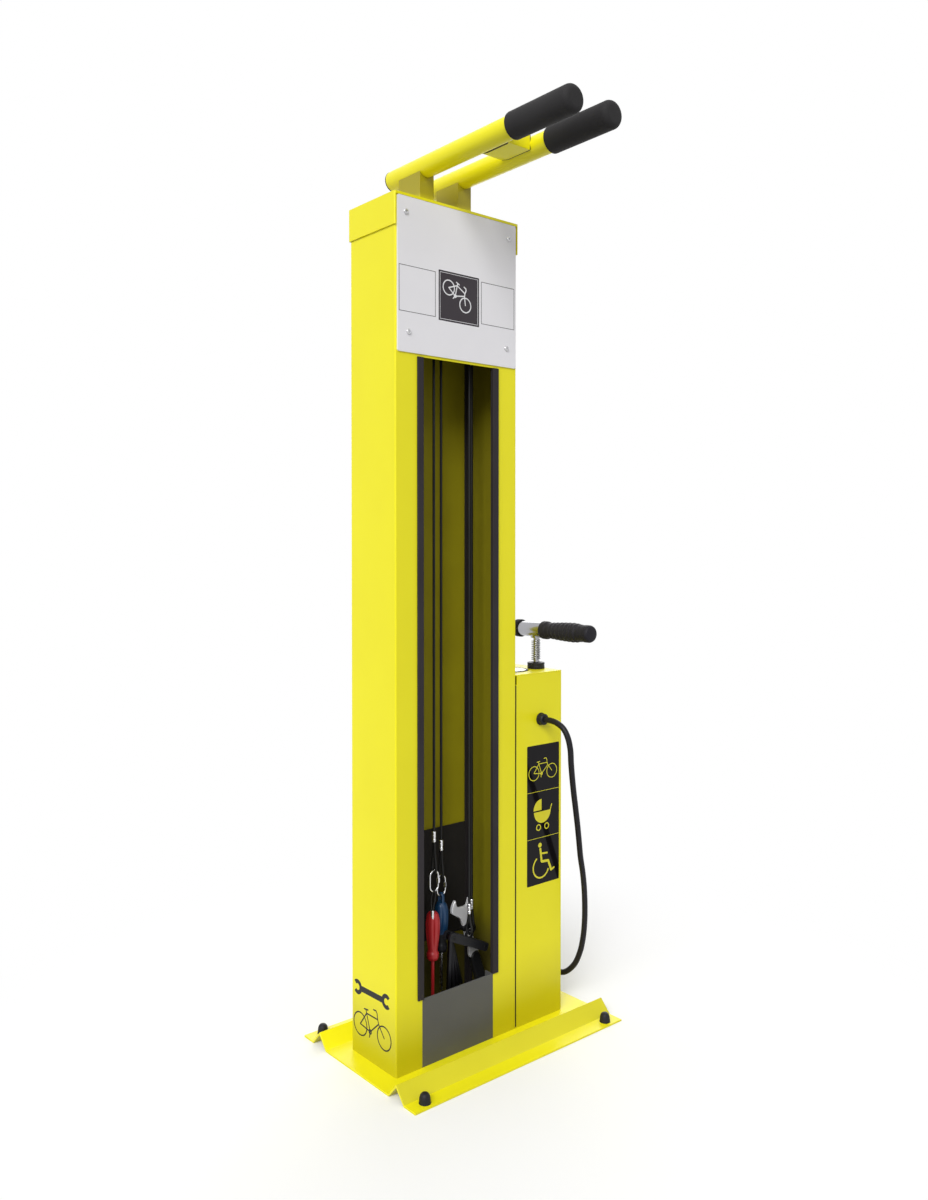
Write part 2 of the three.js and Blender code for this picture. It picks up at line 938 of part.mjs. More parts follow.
function gaugeNeedle() {
  const seat = dialFloor + gauge.dialThickness + fit;
  const { hub, hubHeight, needleWidth, needleThickness, needleReach, needleTail } = gauge;
  const blade = block(
    [-needleWidth / 2, -needleTail, seat + gauge.needleLift],
    [needleWidth / 2, needleReach, seat + gauge.needleLift + needleThickness],
  );
  const centre = bar(hub, seat, seat + hubHeight, tinyFacets);
  return join(centre, blade).rotateZ((Math.PI * 3) / 4).translate(gaugeX, gaugeY, 0);
}
piece("gauge_needle", gaugeNeedle(), finish.blackPlastic);

const glassSeat = lidTop + gauge.bezelHeight - gauge.ledge + fit;
piece(
  "gauge_glass",
  bar(gauge.glass, glassSeat, glassSeat + gauge.glassThickness, roundFacets).translate(
    gaugeX,
    gaugeY,
    0,
  ),
  finish.glass,
);

// Pump: barrel on the base plate, piston and rod, collar on the lid, buffer spring.
function pumpBarrel() {
  const radius = pump.barrel / 2;
  const bore = barrelBore / 2;
  const profile = [
    [0, 0],
    [radius, 0],
    [radius, box.height],
    [bore, box.height],
    [bore, pump.barrelBottom],
    [0, pump.barrelBottom],
  ];
  return turned(profile, smallFacets).translate(pumpX, pumpY, 0);
}
piece("pump_barrel", pumpBarrel(), finish.steel);

const pistonBottom = pump.barrelBottom + pump.pistonLift;
const pistonTop = pistonBottom + pump.pistonHeight;
const rodBottom = pistonBottom + pump.pistonHeight / 2;

function pumpPiston() {
  const radius = barrelBore / 2 - pump.pistonGap;
  const socket = pump.rod / 2 + fit;
  const profile = [
    [0, pistonBottom],
    [radius, pistonBottom],
    [radius, pistonTop],
    [socket, pistonTop],
    [socket, rodBottom - fit],
    [0, rodBottom - fit],
  ];
  return turned(profile, smallFacets).translate(pumpX, pumpY, 0);
}
piece("pump_piston", pumpPiston(), finish.rubber);

const collarTop = lidTop + pump.collarHeight;
const hubBottom = collarTop + 2 * fit + spring.length;
const handleAxis = hubBottom + handle.hubLength + handle.connector / 2;
const rodTop = hubBottom + pump.rodSocket;
piece("pump_rod", bar(pump.rod, rodBottom, rodTop, smallFacets).translate(pumpX, pumpY, 0), finish.chrome);

function rodCollar() {
  const radius = pump.collar / 2;
  const stub = barrelBore / 2 - fit;
  const bore = pump.collarBore / 2;
  const bottom = lidTop - pump.collarStub;
  const profile = [
    [bore, bottom],
    [stub, bottom],
    [stub, lidTop],
    [radius, lidTop],
    [radius, collarTop - overrun],
    [radius - overrun, collarTop],
    [bore, collarTop],
    [bore, bottom],
  ];
  return turned(profile, smallFacets).translate(pumpX, pumpY, 0);
}
piece("rod_collar", rodCollar(), finish.blackPlastic);

// The buffer spring is one unbroken wire. It stands square on the collar for one wire
// diameter, climbs in even curls, and meets the handle's hub square again.
function bufferSpring() {
  const { wire, outer, pitch, steps, sides } = spring;
  const foot = collarTop + fit;
  const head = hubBottom - fit;
  const low = foot + 2 * wire;
  const high = head - 2 * wire;
  const curls = Math.floor((high - low) / pitch);
  const rise = (high - low) / curls;
  const radius = (outer - wire) / 2;
  const stationAt = (turn, height, climb) => {
    const out = new THREE.Vector3(Math.cos(turn), Math.sin(turn), 0);
    const ahead =
      climb === Infinity
        ? new THREE.Vector3(0, 0, 1)
        : new THREE.Vector3(-Math.sin(turn), Math.cos(turn), climb).normalize();
    const centre = out.clone().multiplyScalar(radius).setZ(height);
    return { centre, out, up: new THREE.Vector3().crossVectors(out, ahead) };
  };
  const slope = rise / (2 * Math.PI * radius);
  const stations = [stationAt(0, foot, Infinity), stationAt(0, foot + wire, Infinity)];
  for (let step = 1; step < curls * steps; step += 1) {
    const turn = (2 * Math.PI * step) / steps;
    stations.push(stationAt(turn, low + (rise * step) / steps, slope));
  }
  const lastTurn = 2 * Math.PI * curls;
  stations.push(stationAt(lastTurn, head - wire, Infinity));
  stations.push(stationAt(lastTurn, head, Infinity));

  const places = [];
  stations.forEach(({ centre, out, up }) => {
    for (let side = 0; side < sides; side += 1) {
      const around = (2 * Math.PI * side) / sides;
      const point = centre
        .clone()
        .addScaledVector(out, (wire / 2) * Math.cos(around))
        .addScaledVector(up, (wire / 2) * Math.sin(around));
      places.push(point.x, point.y, point.z);
    }
  });
  const faces = [];
  for (let ring = 0; ring + 1 < stations.length; ring += 1) {
    for (let side = 0; side < sides; side += 1) {
      const next = (side + 1) % sides;
      const [a, b] = [ring * sides + side, ring * sides + next];
      const [c, d] = [a + sides, b + sides];
      faces.push(a, c, b, b, c, d);
    }
  }
  const last = (stations.length - 1) * sides;
  for (let side = 1; side + 1 < sides; side += 1) {
    faces.push(0, side, side + 1);
    faces.push(last, last + side + 1, last + side);
  }
  let least = Infinity;
  stations.forEach((one, i) => {
    stations.slice(i + steps / 2).forEach((other) => {
      least = Math.min(least, one.centre.distanceTo(other.centre) - wire);
    });
  });
  console.log(`buffer spring: ${curls} curls, least gap to itself ${least.toFixed(2)} mm`);
  const geometry = new THREE.BufferGeometry();
  geometry.setAttribute("position", new THREE.Float32BufferAttribute(places, 3));
  geometry.setIndex(faces);
  return geometry.translate(pumpX, pumpY, 0);
}
piece("buffer_spring", bufferSpring(), finish.steel);

// Handle: a chromed cross tube with a hub over the rod, and a grip on each end.
function handleBar() {
  const { connector, hub, front, rear, barInset } = handle;
  const tubeRadius = connector / 2;
  const barRadius = handle.bar / 2;
  const frontEnd = front - grip.length + grip.endWall + barInset;
  const rearEnd = rear + grip.length - grip.endWall - barInset;
  const profile = [
    [0, frontEnd],
    [barRadius, frontEnd],
    [barRadius, front],
    [tubeRadius, front],
    [tubeRadius, rear],
    [barRadius, rear],
    [barRadius, rearEnd],
    [0, rearEnd],
  ];
  const cross = alongY(turned(profile, smallFacets)).translate(pumpX, 0, handleAxis);
  const sleevePart = bar(hub, hubBottom, handleAxis, smallFacets).translate(pumpX, pumpY, 0);
  const socket = bar(
    pump.rod + 2 * fit,
    hubBottom - overrun,
    rodTop + fit,
    smallFacets,
  ).translate(pumpX, pumpY, 0);
  return cut(join(cross, sleevePart), socket);
}
piece("handle_bar", handleBar(), finish.chrome);

// Grip profile along its length, from the inner flange to the rounded outer end. The
// stations are shares of the grip's length.
function handGrip() {
  const bore = handle.bar / 2 + grip.boreClearance;
  const { length, endWall, endFlange, innerFlange, neck, belly, groove } = grip;
  const stationShares = [
    [fit / length, innerFlange],
    [0.1, innerFlange],
    [0.14, neck],
    [0.19, neck],
    [0.3, (neck + belly) / 2],
    [0.42, belly],
    [0.52, (belly + belly + groove) / 3],
    [0.6, belly],
    [0.7, (belly + belly + groove) / 3],
    [0.8, groove],
    [0.84, groove],
    [0.87, endFlange],
    [0.95, endFlange],
    [0.985, endFlange * 0.85],
    [1, endFlange * 0.6],
  ];
  const outer = stationShares.map(([share, diameter]) => [diameter / 2, share * length]);
  const profile = [
    [bore, fit],
    ...outer,
    [0, length],
    [0, length - endWall],
    [bore, length - endWall],
    [bore, fit],
  ];
  return turned(profile, smallFacets);
}
const gripPlace = (geometry, end) => geometry.translate(pumpX, end, handleAxis);
piece("grip_rear", gripPlace(alongY(handGrip()), handle.rear), finish.rubber);
piece(
  "grip_front",
  gripPlace(alongY(handGrip()).rotateZ(Math.PI), handle.front),
  finish.rubber,
);

// Hose gland in the box's front, and the hose from its mouth to the parked pump head.
function hoseGland() {
  const radius = gland.diameter / 2;
  const stubEnd = box.sheet + gland.flangeThickness;
  const profile = [
    [0, -gland.length],
    [radius * 0.8, -gland.length],
    [radius, -gland.length * 0.8],
    [radius, -gland.flangeThickness],
    [gland.flange / 2, -gland.flangeThickness],
    [gland.flange / 2, -fit],
    [radius - fit, -fit],
    [radius - fit, stubEnd],
    [0, stubEnd],
  ];
  return alongY(turned(profile, smallFacets)).translate(glandX, 0, glandHeight);
}
piece("hose_gland", hoseGland(), finish.blackPlastic);
piece(
  "pump_hose",
  tube(curveThrough(hoseRoute), hose.diameter, hose.sides, hose.steps),
  finish.rubber,
);

// Pump head: an upright body with a barb below, a nozzle to the front and two ears on
// top that carry the lever.
function pumpHead() {
  const { diameter, height, bottom, barb, barbHeight, nozzle, nozzleReach } = head;
  const { nozzleBore, nozzleDepth, nozzleDrop, earHeight, earThickness } = head;
  const top = bottom + height;
  const radius = diameter / 2;
  const chamfer = radius / 5;
  const profile = [
    [0, bottom - barbHeight],
    [barb / 2, bottom - barbHeight],
    [barb / 2, bottom],
    [radius - chamfer, bottom],
    [radius, bottom + chamfer],
    [radius, top],
    [0, top],
  ];
  const body = turned(profile, smallFacets);
  const nozzleAxis = top - nozzleDrop;
  const spout = alongY(bar(nozzle, -radius - nozzleReach, 0, smallFacets)).translate(0, 0, nozzleAxis);
  const mouth = alongY(
    bar(
      nozzleBore,
      -radius - nozzleReach - overrun,
      -radius - nozzleReach + nozzleDepth,
      tinyFacets,
    ),
  ).translate(0, 0, nozzleAxis);
  const earInner = lever.width / 2 + fit;
  const ears = [-1, 1].map((side) => {
    const x = [side * earInner, side * (earInner + earThickness)].sort((a, b) => a - b);
    return block(
      [x[0], -earHeight / 2, top - overrun],
      [x[1], earHeight / 2, top + earHeight],
    );
  });
  const reach = earInner + earThickness / 2;
  const pin = alongX(bar(lever.pin, -reach, reach, tinyFacets)).translate(
    0,
    0,
    top + lever.pivotHeight,
  );
  const whole = cut(join(body, spout, ...ears, pin), mouth);
  return whole.translate(headX, head.back, 0);
}
piece("pump_head", pumpHead(), finish.blackPlastic);

// Lever: its pivot lies between the ears, and it hangs down the head's back.
const leverPivot = [head.back, head.bottom + head.height + lever.pivotHeight];

function chuckLever() {
  const [back, height] = leverPivot;
  const radius = lever.thickness / 2;
  const outward = head.diameter / 2 + fit + radius;
  const hub = [0, 1, 2, 3, 4].map((step) => {
    const turn = Math.PI / 2 + (step * Math.PI) / 4;
    return [back + radius * Math.cos(turn), height + radius * Math.sin(turn)];
  });
  const section = polygon([
    ...hub,
    [back + outward - radius, height - radius],
    [back + outward - radius, height - lever.length],
    [back + outward + radius + lever.finger, height - lever.length],
    [back + outward + radius, height - lever.length / 2],
    [back + outward + radius, height],
    [back + outward, height + radius],
  ]);
  const half = lever.width / 2;
  const bore = alongX(bar(lever.pin + 2 * fit, -lever.width, lever.width, tinyFacets));
  return cut(
    drawn(section, "yz", headX - half, headX + half),
    bore.translate(headX, back, height),
  );
}
piece("chuck_lever", chuckLever(), finish.blackPlastic);

// Spring clip on the box's right side that holds the head's body.
function headClip() {
  const inner = head.diameter / 2 + fit;
  const outer = inner + clip.wall;
  const low = head.bottom + clip.bottom;
  const high = low + clip.height;
  const ring = bar(2 * outer, low, high, smallFacets).translate(headX, head.back, 0);
  const hollow = bar(2 * inner, low - overrun, high + overrun, smallFacets).translate(
    headX,
    head.back,
    0,
  );
  const wall = boxRight + fit;
  const middle = (low + high) / 2;
  const plate = block(
    [wall, head.back - clip.plateWidth / 2, middle - clip.plateHeight / 2],
    [wall + clip.plate, head.back + clip.plateWidth / 2, middle + clip.plateHeight / 2],
  );
  const neck = block(
    [wall, head.back - clip.neck / 2, low],
    [headX, head.back + clip.neck / 2, high],
  );
  const mouth = block(
    [headX, head.back - clip.mouth / 2, low - overrun],
    [headX + outer + overrun, head.back + clip.mouth / 2, high + overrun],
  );
  return cut(join(ring, neck, plate), hollow, mouth);
}
piece("head_clip", headClip(), finish.steel);

// Shelf that the cables hang through, high behind the information plate.
function cableShelf() {
  const left = column.sheet + fit;
  const right = column.width - column.sheet - fit;
  const { height, sheet, front, rear, wing, hole } = shelf;
  const section = polygon([
    [left, height - wing],
    [left + sheet, height - wing],
    [left + sheet, height],
    [right - sheet, height],
    [right - sheet, height - wing],
    [right, height - wing],
    [right, height + sheet],
    [left, height + sheet],
  ]);
  const plate = drawn(section, "xz", front, rear);
  const holes = cables.map(({ across, back }) =>
    bar(hole, height - overrun, height + sheet + overrun, tinyFacets).translate(across, back, 0),
  );
  return cut(plate, ...holes);
}
piece("cable_shelf", cableShelf(), finish.steel);

// The eye of a cable: down from the ferrule, round the bottom and up again.
function eyePath({ eye }, half, foot, top) {
  const round = [0, 1, 2, 3, 4].map((step) => {
    const turn = Math.PI + (step * Math.PI) / 4;
    return [0, half * Math.cos(turn), eye + half + half * Math.sin(turn)];
  });
  const legs = (top - eye) / 3;
  return [
    [0, -foot, top],
    [0, -half, eye + half + legs],
    ...round,
    [0, half, eye + half + legs],
    [0, foot, top],
  ];
}

cables.forEach((place, i) => {
  const foot = place.ferrule;
  const { diameter, sides, stop, stopLength, ferrule, ferruleLength, eyeSteps } = cable;
  const seat = shelf.height + shelf.sheet + fit;
  const run = bar(diameter, foot + ferruleLength / 2, seat + stopLength / 2, sides);
  const stopEnd = bar(stop, seat, seat + stopLength, tinyFacets);
  const crimp = bar(ferrule + diameter / 2, foot, foot + ferruleLength, tinyFacets);
  const path = eyePath(place, cable.eyeHalfWidth, diameter / 3, foot + ferruleLength / 4);
  const eye = tube(curveThrough(path), diameter, sides, eyeSteps);
  const whole = join(run, stopEnd, crimp, eye).translate(place.across, place.back, 0);
  piece(`tool_cable_${i + 1}`, whole, finish.blackPlastic);
});

// Heights on a screwdriver's hanger, counted from the centre of its ring's top wire.
const ringBottom = link.wire - link.height;
const lanyardFoot = ringBottom - link.lanyardLength;
const ferruleEnd = lanyardFoot - link.ferruleLength;
const pivotAbove = cable.diameter / 2 + link.wire / 2 + fit;

// The oval snap ring that goes through a cable's eye.
function snapRing() {
  const reach = (link.width - link.wire) / 2;
  const steps = [0, 1, 2, 3, 4, 5, 6, 7, 8];
  const arc = (start, centre) =>
    steps.map((step) => {
      const turn = start + (step * Math.PI) / 8;
      return new THREE.Vector3(reach * Math.cos(turn), 0, centre + reach * Math.sin(turn));
    });
  const outline = [...arc(0, -reach), ...arc(Math.PI, ringBottom + reach)];
  const curve = new THREE.CatmullRomCurve3(outline, true);
  return ringTube(curve, link.wire, link.sides, link.ringSteps);
}

// The snap ring with a lanyard looped over its bottom wire, crimped in a ferrule.
function lanyardLink() {
  const { wire, lanyard, lanyardHalfWidth } = link;
  const hook = ringBottom + wire / 2 + lanyard / 3;
  const loop = [
    [0, -lanyard / 3, lanyardFoot - lanyard],
    [0, -lanyardHalfWidth, (lanyardFoot + hook) / 2],
    [0, -lanyardHalfWidth / 2, hook - lanyard / 2],
    [0, 0, hook],
    [0, lanyardHalfWidth / 2, hook - lanyard / 2],
    [0, lanyardHalfWidth, (lanyardFoot + hook) / 2],
    [0, lanyard / 3, lanyardFoot - lanyard],
  ];
  const cord = tube(curveThrough(loop), lanyard, link.sides, link.loopSteps);
  const crimp = bar(link.ferrule, ferruleEnd, lanyardFoot, tinyFacets);
  return join(snapRing(), cord, crimp);
}

// A tube that closes on itself along a closed curve in an upright plane.
function ringTube(curve, diameter, sides, steps) {
  const places = [];
  const faces = [];
  const across = new THREE.Vector3(0, 1, 0);
  for (let step = 0; step < steps; step += 1) {
    const centre = curve.getPoint(step / steps);
    const outward = new THREE.Vector3().crossVectors(across, curve.getTangent(step / steps));
    for (let side = 0; side < sides; side += 1) {
      const turn = (2 * Math.PI * side) / sides;
      const point = centre
        .clone()
        .addScaledVector(outward, (diameter / 2) * Math.cos(turn))
        .addScaledVector(across, (diameter / 2) * Math.sin(turn));
      places.push(point.x, point.y, point.z);
    }
  }
  for (let step = 0; step < steps; step += 1) {
    for (let side = 0; side < sides; side += 1) {
      const next = (side + 1) % sides;
      const after = ((step + 1) % steps) * sides;
      const [a, b] = [step * sides + side, step * sides + next];
      faces.push(a, after + side, b, b, after + side, after + next);
    }
  }
  const geometry = new THREE.BufferGeometry();
  geometry.setAttribute("position", new THREE.Float32BufferAttribute(places, 3));
  geometry.setIndex(faces);
  return geometry;
}

// Screwdriver handle, turned: bulb above, waist and collar below, with a socket for the
// shaft. The stations are shares of its length and of its width.
function driverHandle(top) {
  const { handle: wide, handleLength: length } = driver;
  const socket = driver.shaft / 2 + fit;
  const handleShares = [
    [0, 0.55],
    [0.04, 0.76],
    [0.1, 0.9],
    [0.2, 1],
    [0.36, 1],
    [0.5, 0.93],
    [0.66, 0.8],
    [0.78, 0.7],
    [0.82, 0.7],
    [0.86, 0.86],
    [0.95, 0.86],
    [1, 0.7],
  ];
  const outer = handleShares.map(([down, width]) => [(width * wide) / 2, top - down * length]);
  const profile = [
    [0, top],
    ...outer,
    [socket, top - length],
    [socket, top - length + driver.socket],
    [0, top - length + driver.socket],
  ];
  return turned(profile, smallFacets);
}

// A handle that the lanyard's ferrule is set into.
const cordedTop = ferruleEnd - fit + driver.cordSocket;
function cordedHandle() {
  const socket = bar(link.ferrule + 2 * fit, ferruleEnd - fit, cordedTop + overrun, tinyFacets);
  return cut(driverHandle(cordedTop), socket);
}

// A handle whose flattened end hangs straight in the ring.
const tabHoleHeight = ringBottom + link.wire / 2 + 3 * fit - driver.tabHole / 2;
const tabTop = tabHoleHeight + driver.tabHole / 2 + driver.tabRim;
const tabbedTop = tabTop - driver.tabLength + overrun;
function tabbedHandle() {
  const { tab, tabLength, tabThickness, tabHole } = driver;
  const end = bar(tab, tabTop - tabLength, tabTop, smallFacets);
  const flats = [-1, 1].map((side) => {
    const x = [(side * tabThickness) / 2, side * tab].sort((a, b) => a - b);
    return block([x[0], -tab, tabbedTop + overrun], [x[1], tab, tabTop + overrun]);
  });
  const hole = alongX(bar(tabHole, -tab, tab, tinyFacets)).translate(0, 0, tabHoleHeight);
  return cut(join(driverHandle(tabbedTop), end), ...flats, hole);
}

function driverShaft(handleTop, flat) {
  const top = handleTop - driver.handleLength + driver.socket - fit;
  const bottom = handleTop - driver.handleLength - driver.shaftLength;
  const shank = bar(driver.shaft, bottom + driver.tipLength / 2, top, tinyFacets);
  if (flat) {
    const blade = block(
      [-driver.tip / 2, -driver.tipThickness / 2, bottom],
      [driver.tip / 2, driver.tipThickness / 2, bottom + driver.tipLength],
    );
    return join(shank, blade);
  }
  const cone = turned(
    [
      [0, bottom],
      [driver.tipThickness / 2, bottom],
      [driver.shaft / 2, bottom + driver.tipLength / 2],
      [0, bottom + driver.tipLength / 2],
    ],
    tinyFacets,
  );
  return join(shank, cone);
}

const hangFrom = (place) => (geometry) =>
  geometry.translate(place.across, place.back, place.eye + pivotAbove);
const hangFlat = hangFrom(flatCable);
piece("flat_driver_link", hangFlat(lanyardLink()), finish.steel);
piece("flat_driver_handle", hangFlat(cordedHandle()), finish.redPlastic);
piece("flat_driver_shaft", hangFlat(driverShaft(cordedTop, true)), finish.redPlastic);
const hangCross = hangFrom(crossCable);
piece("cross_driver_link", hangCross(snapRing()), finish.steel);
piece("cross_driver_handle", hangCross(tabbedHandle()), finish.bluePlastic);
piece("cross_driver_shaft", hangCross(driverShaft(tabbedTop, false)), finish.steel);

// Lug of a hanging tool, in the plane of the front. The wire of the cable's eye passes
// through its hole at the origin's height and carries the hole's top.
const lugCentre = cable.diameter / 2 + lug.seatGap - lug.hole / 2;
const lugFoot = lugCentre - lug.hole / 2;

function lugPlate() {
  const { hole, rim, thickness } = lug;
  const plate = alongY(bar(hole + 2 * rim, -thickness / 2, thickness / 2, smallFacets));
  return plate.translate(0, 0, lugCentre);
}

const lugBore = (reach) =>
  alongY(bar(lug.hole, -reach, reach, smallFacets)).translate(0, 0, lugCentre);

// Open-ended spanner with a dipped grip. It hangs tilted from a lug at its side.
function openSpanner() {
  const { headWidth, headCentre, jaw, jawFloor, jawTurn, shank, thickness } = spanner;
  const { taperTop, taperLength, reachDown, boss, bossLength, gripLength } = spanner;
  const half = thickness / 2;
  const headDisc = alongY(bar(headWidth, -half, half, roundFacets)).translate(0, 0, headCentre);
  const opening = block(
    [-jaw / 2, -half - overrun, jawFloor],
    [jaw / 2, half + overrun, headWidth],
  )
    .rotateY((jawTurn * Math.PI) / 180)
    .translate(0, 0, headCentre);
  const neckTop = headCentre - headWidth / 4;
  const gripTop = gripLength - reachDown;
  const stem = drawn(
    polygon([
      [-taperTop / 2, neckTop],
      [-shank / 2, neckTop - taperLength],
      [-shank / 2, gripTop + bossLength],
      [-boss / 2, gripTop + overrun],
      [-boss / 2, gripTop - overrun],
      [boss / 2, gripTop - overrun],
      [boss / 2, gripTop + overrun],
      [shank / 2, gripTop + bossLength],
      [shank / 2, neckTop - taperLength],
      [taperTop / 2, neckTop],
    ]),
    "xz",
    -half,
    half,
  );
  const side = spanner.grip / 2;
  const gripOutline = roundedRectangle(-side, -reachDown, side, gripTop, side / 2);
  const dipped = drawn(
    gripOutline,
    "xz",
    -spanner.gripThickness / 2,
    spanner.gripThickness / 2,
  );
  const body = join(cut(headDisc, opening), stem, dipped);
  const tilted = body.rotateY((-spanner.tilt * Math.PI) / 180).translate(-spanner.lug, 0, 0);
  return cut(join(tilted, lugPlate()), lugBore(thickness));
}
piece(
  "open_spanner",
  openSpanner().translate(spannerCable.across, spannerCable.back, spannerCable.eye),
  finish.steel,
);

// Folding hex key set: a slanted body with a lug on its spine, and a fan of keys that
// hangs from a pin between the cheeks at the body's upper end.
const hexTurn = (hexSet.tilt * Math.PI) / 180;
const hexMiddle = [
  -hexSet.offset,
  lugFoot - hexSet.width / 2 / Math.cos(hexTurn) + hexSet.offset * Math.tan(hexTurn),
];
const hexArm = hexSet.length / 2 - hexSet.pivotInset;
const hexPivot = [
  hexMiddle[0] - hexArm * Math.cos(hexTurn),
  hexMiddle[1] + hexArm * Math.sin(hexTurn),
];

function hexBody() {
  const { length, width, thickness, cheek, spine, endWall, pivotInset, hub, pivotPin } = hexSet;
  const outline = roundedRectangle(-length / 2, -width / 2, length / 2, width / 2, width / 3);
  const whole = drawn(outline, "xz", -thickness / 2, thickness / 2);
  const slotHalf = thickness / 2 - cheek;
  const throughEnd = -length / 2 + pivotInset + hub / 2 + 2 * overrun;
  const hubSlot = block(
    [-length / 2 - overrun, -slotHalf, -width / 2 - overrun],
    [throughEnd, slotHalf, width / 2 + overrun],
  );
  const keySlot = block(
    [throughEnd - overrun, -slotHalf, -width / 2 - overrun],
    [length / 2 - endWall, slotHalf, width / 2 - spine],
  );
  const pin = alongY(bar(pivotPin, -slotHalf - overrun, slotHalf + overrun, tinyFacets));
  const pinned = join(cut(whole, hubSlot, keySlot), pin.translate(-hexArm, 0, 0));
  const tilted = pinned.rotateY(hexTurn).translate(hexMiddle[0], 0, hexMiddle[1]);
  return cut(join(tilted, lugPlate()), lugBore(lug.thickness));
}

function hexKeys() {
  const { keyLength, keys, hub, pivotPin, thickness, cheek } = hexSet;
  const slotHalf = thickness / 2 - cheek - fit;
  const disc = alongY(bar(hub, -slotHalf, slotHalf, smallFacets));
  const hole = alongY(
    bar(pivotPin + 2 * fit, -slotHalf - overrun, slotHalf + overrun, tinyFacets),
  );
  const fan = keys.map(({ size, lean }) =>
    bar(size, -keyLength, 0, 6).rotateY((-lean * Math.PI) / 180),
  );
  return cut(join(disc, ...fan), hole).translate(hexPivot[0], 0, hexPivot[1]);
}
const hangHex = (geometry) => geometry.translate(hexCable.across, hexCable.back, hexCable.eye);
piece("hex_set_body", hangHex(hexBody()), finish.graphite);
piece("hex_set_keys", hangHex(hexKeys()), finish.blackPlastic);

const repairStation = new THREE.Group();
repairStation.add(station);

export default repairStation;
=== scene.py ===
# %% [markdown]
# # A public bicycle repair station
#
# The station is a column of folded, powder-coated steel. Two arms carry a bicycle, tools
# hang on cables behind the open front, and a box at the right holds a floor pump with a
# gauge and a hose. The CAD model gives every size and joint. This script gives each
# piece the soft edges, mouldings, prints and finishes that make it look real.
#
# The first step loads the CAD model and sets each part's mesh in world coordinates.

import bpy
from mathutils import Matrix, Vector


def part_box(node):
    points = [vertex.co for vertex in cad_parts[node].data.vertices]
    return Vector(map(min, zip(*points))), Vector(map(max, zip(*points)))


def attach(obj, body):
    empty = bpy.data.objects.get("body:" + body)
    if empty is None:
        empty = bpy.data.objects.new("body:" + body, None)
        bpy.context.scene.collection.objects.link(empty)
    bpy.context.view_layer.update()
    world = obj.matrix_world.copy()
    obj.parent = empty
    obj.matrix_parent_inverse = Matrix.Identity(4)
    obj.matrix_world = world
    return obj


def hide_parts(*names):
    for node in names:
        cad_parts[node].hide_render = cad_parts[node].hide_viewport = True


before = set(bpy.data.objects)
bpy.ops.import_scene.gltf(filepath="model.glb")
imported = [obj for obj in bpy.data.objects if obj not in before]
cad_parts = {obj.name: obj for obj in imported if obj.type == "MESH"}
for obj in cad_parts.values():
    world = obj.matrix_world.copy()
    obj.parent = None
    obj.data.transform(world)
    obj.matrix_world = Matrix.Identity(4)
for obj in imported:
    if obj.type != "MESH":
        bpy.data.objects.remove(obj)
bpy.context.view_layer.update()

# %% [markdown]
# The CAD model counts its sizes in millimetres from the column's left front foot, on top
# of the base plate. One small function turns such a place into Blender's metres, so
# every number below can be checked against the real object with a ruler.

# %% Count places from the column's foot
import math

import bmesh
import bpy
from mathutils import Matrix, Vector

column_foot = Vector((-0.1885, -0.058, 0.003))
column_middle = 125


def at(x, y, z):
    return column_foot + Vector((x, y, z)) / 1000


print("Top of the column, m:", [round(value, 4) for value in at(column_middle, 60, 1350)])

# %% [markdown]
# ## Camera, floor and light
#
# The camera stands left of the front, a little above half height. Its place and lens
# were solved from the column's edges in the photograph. The picture was cropped below
# the lens axis, which a small vertical shift repeats without tilting the uprights.

# %% Set up the camera
scene = bpy.context.scene
scene.view_settings.view_transform = "Standard"


def placed(name, data):
    """A new object in the scene for a mesh, a lamp, a camera or a text."""
    obj = bpy.data.objects.new(name, data)
    scene.collection.objects.link(obj)
    return obj


camera_data = bpy.data.cameras.new("camera")
camera_data.sensor_fit = "VERTICAL"
camera_data.sensor_height = 36
camera_data.lens = 30.09
camera_data.shift_y = -0.02995
camera = placed("camera", camera_data)
camera.location = (-1.0898, -1.2855, 0.8166)
camera.rotation_euler = (math.radians(90 - 0.993), 0, math.radians(-40.199))
scene.camera = camera
print("Camera:", [round(value, 3) for value in camera.location], camera_data.lens, "mm")

# %% [markdown]
# Light, floor and finishes are all mixed from nodes. Small helpers keep that short: they
# add a node, give its sockets their values or their links, and do what several mixes
# need. Each could be written out in full every time, but then a slip would hide easily.

# %% Join nodes
white = (1, 1, 1, 1)


def wire_up(tree, node, sockets):
    for socket, value in sockets.items():
        if isinstance(value, bpy.types.NodeSocket):
            tree.links.new(value, node.inputs[socket])
        else:
            node.inputs[socket].default_value = value


def add_node(tree, kind, sockets=None, **settings):
    node = tree.nodes.new(kind)
    for setting, value in settings.items():
        setattr(node, setting, value)
    wire_up(tree, node, sockets or {})
    return node


def maths(tree, operation, a, b):
    return add_node(tree, "ShaderNodeMath", {0: a, 1: b}, operation=operation).outputs[0]


def place_on_piece(tree):
    return add_node(tree, "ShaderNodeTexCoord").outputs["Object"]


def blended_colour(tree, share, first, second):
    """One colour where share is 0, the other where it is 1."""
    return add_node(
        tree, "ShaderNodeMix", {0: share, 6: first, 7: second}, data_type="RGBA"
    ).outputs[2]


def smooth_step(tree, value, start, end):
    """Rises gently from 0 to 1 while value goes from start to end."""
    return add_node(
        tree, "ShaderNodeMapRange", {"Value": value, "From Min": start, "From Max": end},
        interpolation_type="SMOOTHSTEP",
    ).outputs["Result"]


# %% [markdown]
# The photograph is a studio shot on white. The daylight of the studio is the world
# colour. Rays that look straight at it, or see it in metal or glass, get plain white,
# while the light it sheds on the object is weaker, so that a paint renders about as it
# is mixed. Two suns from the left give the left side its brighter yellow and leave the
# deep window in shade. One from the rear right lights the other sides, and a faint one
# from above the level faces.

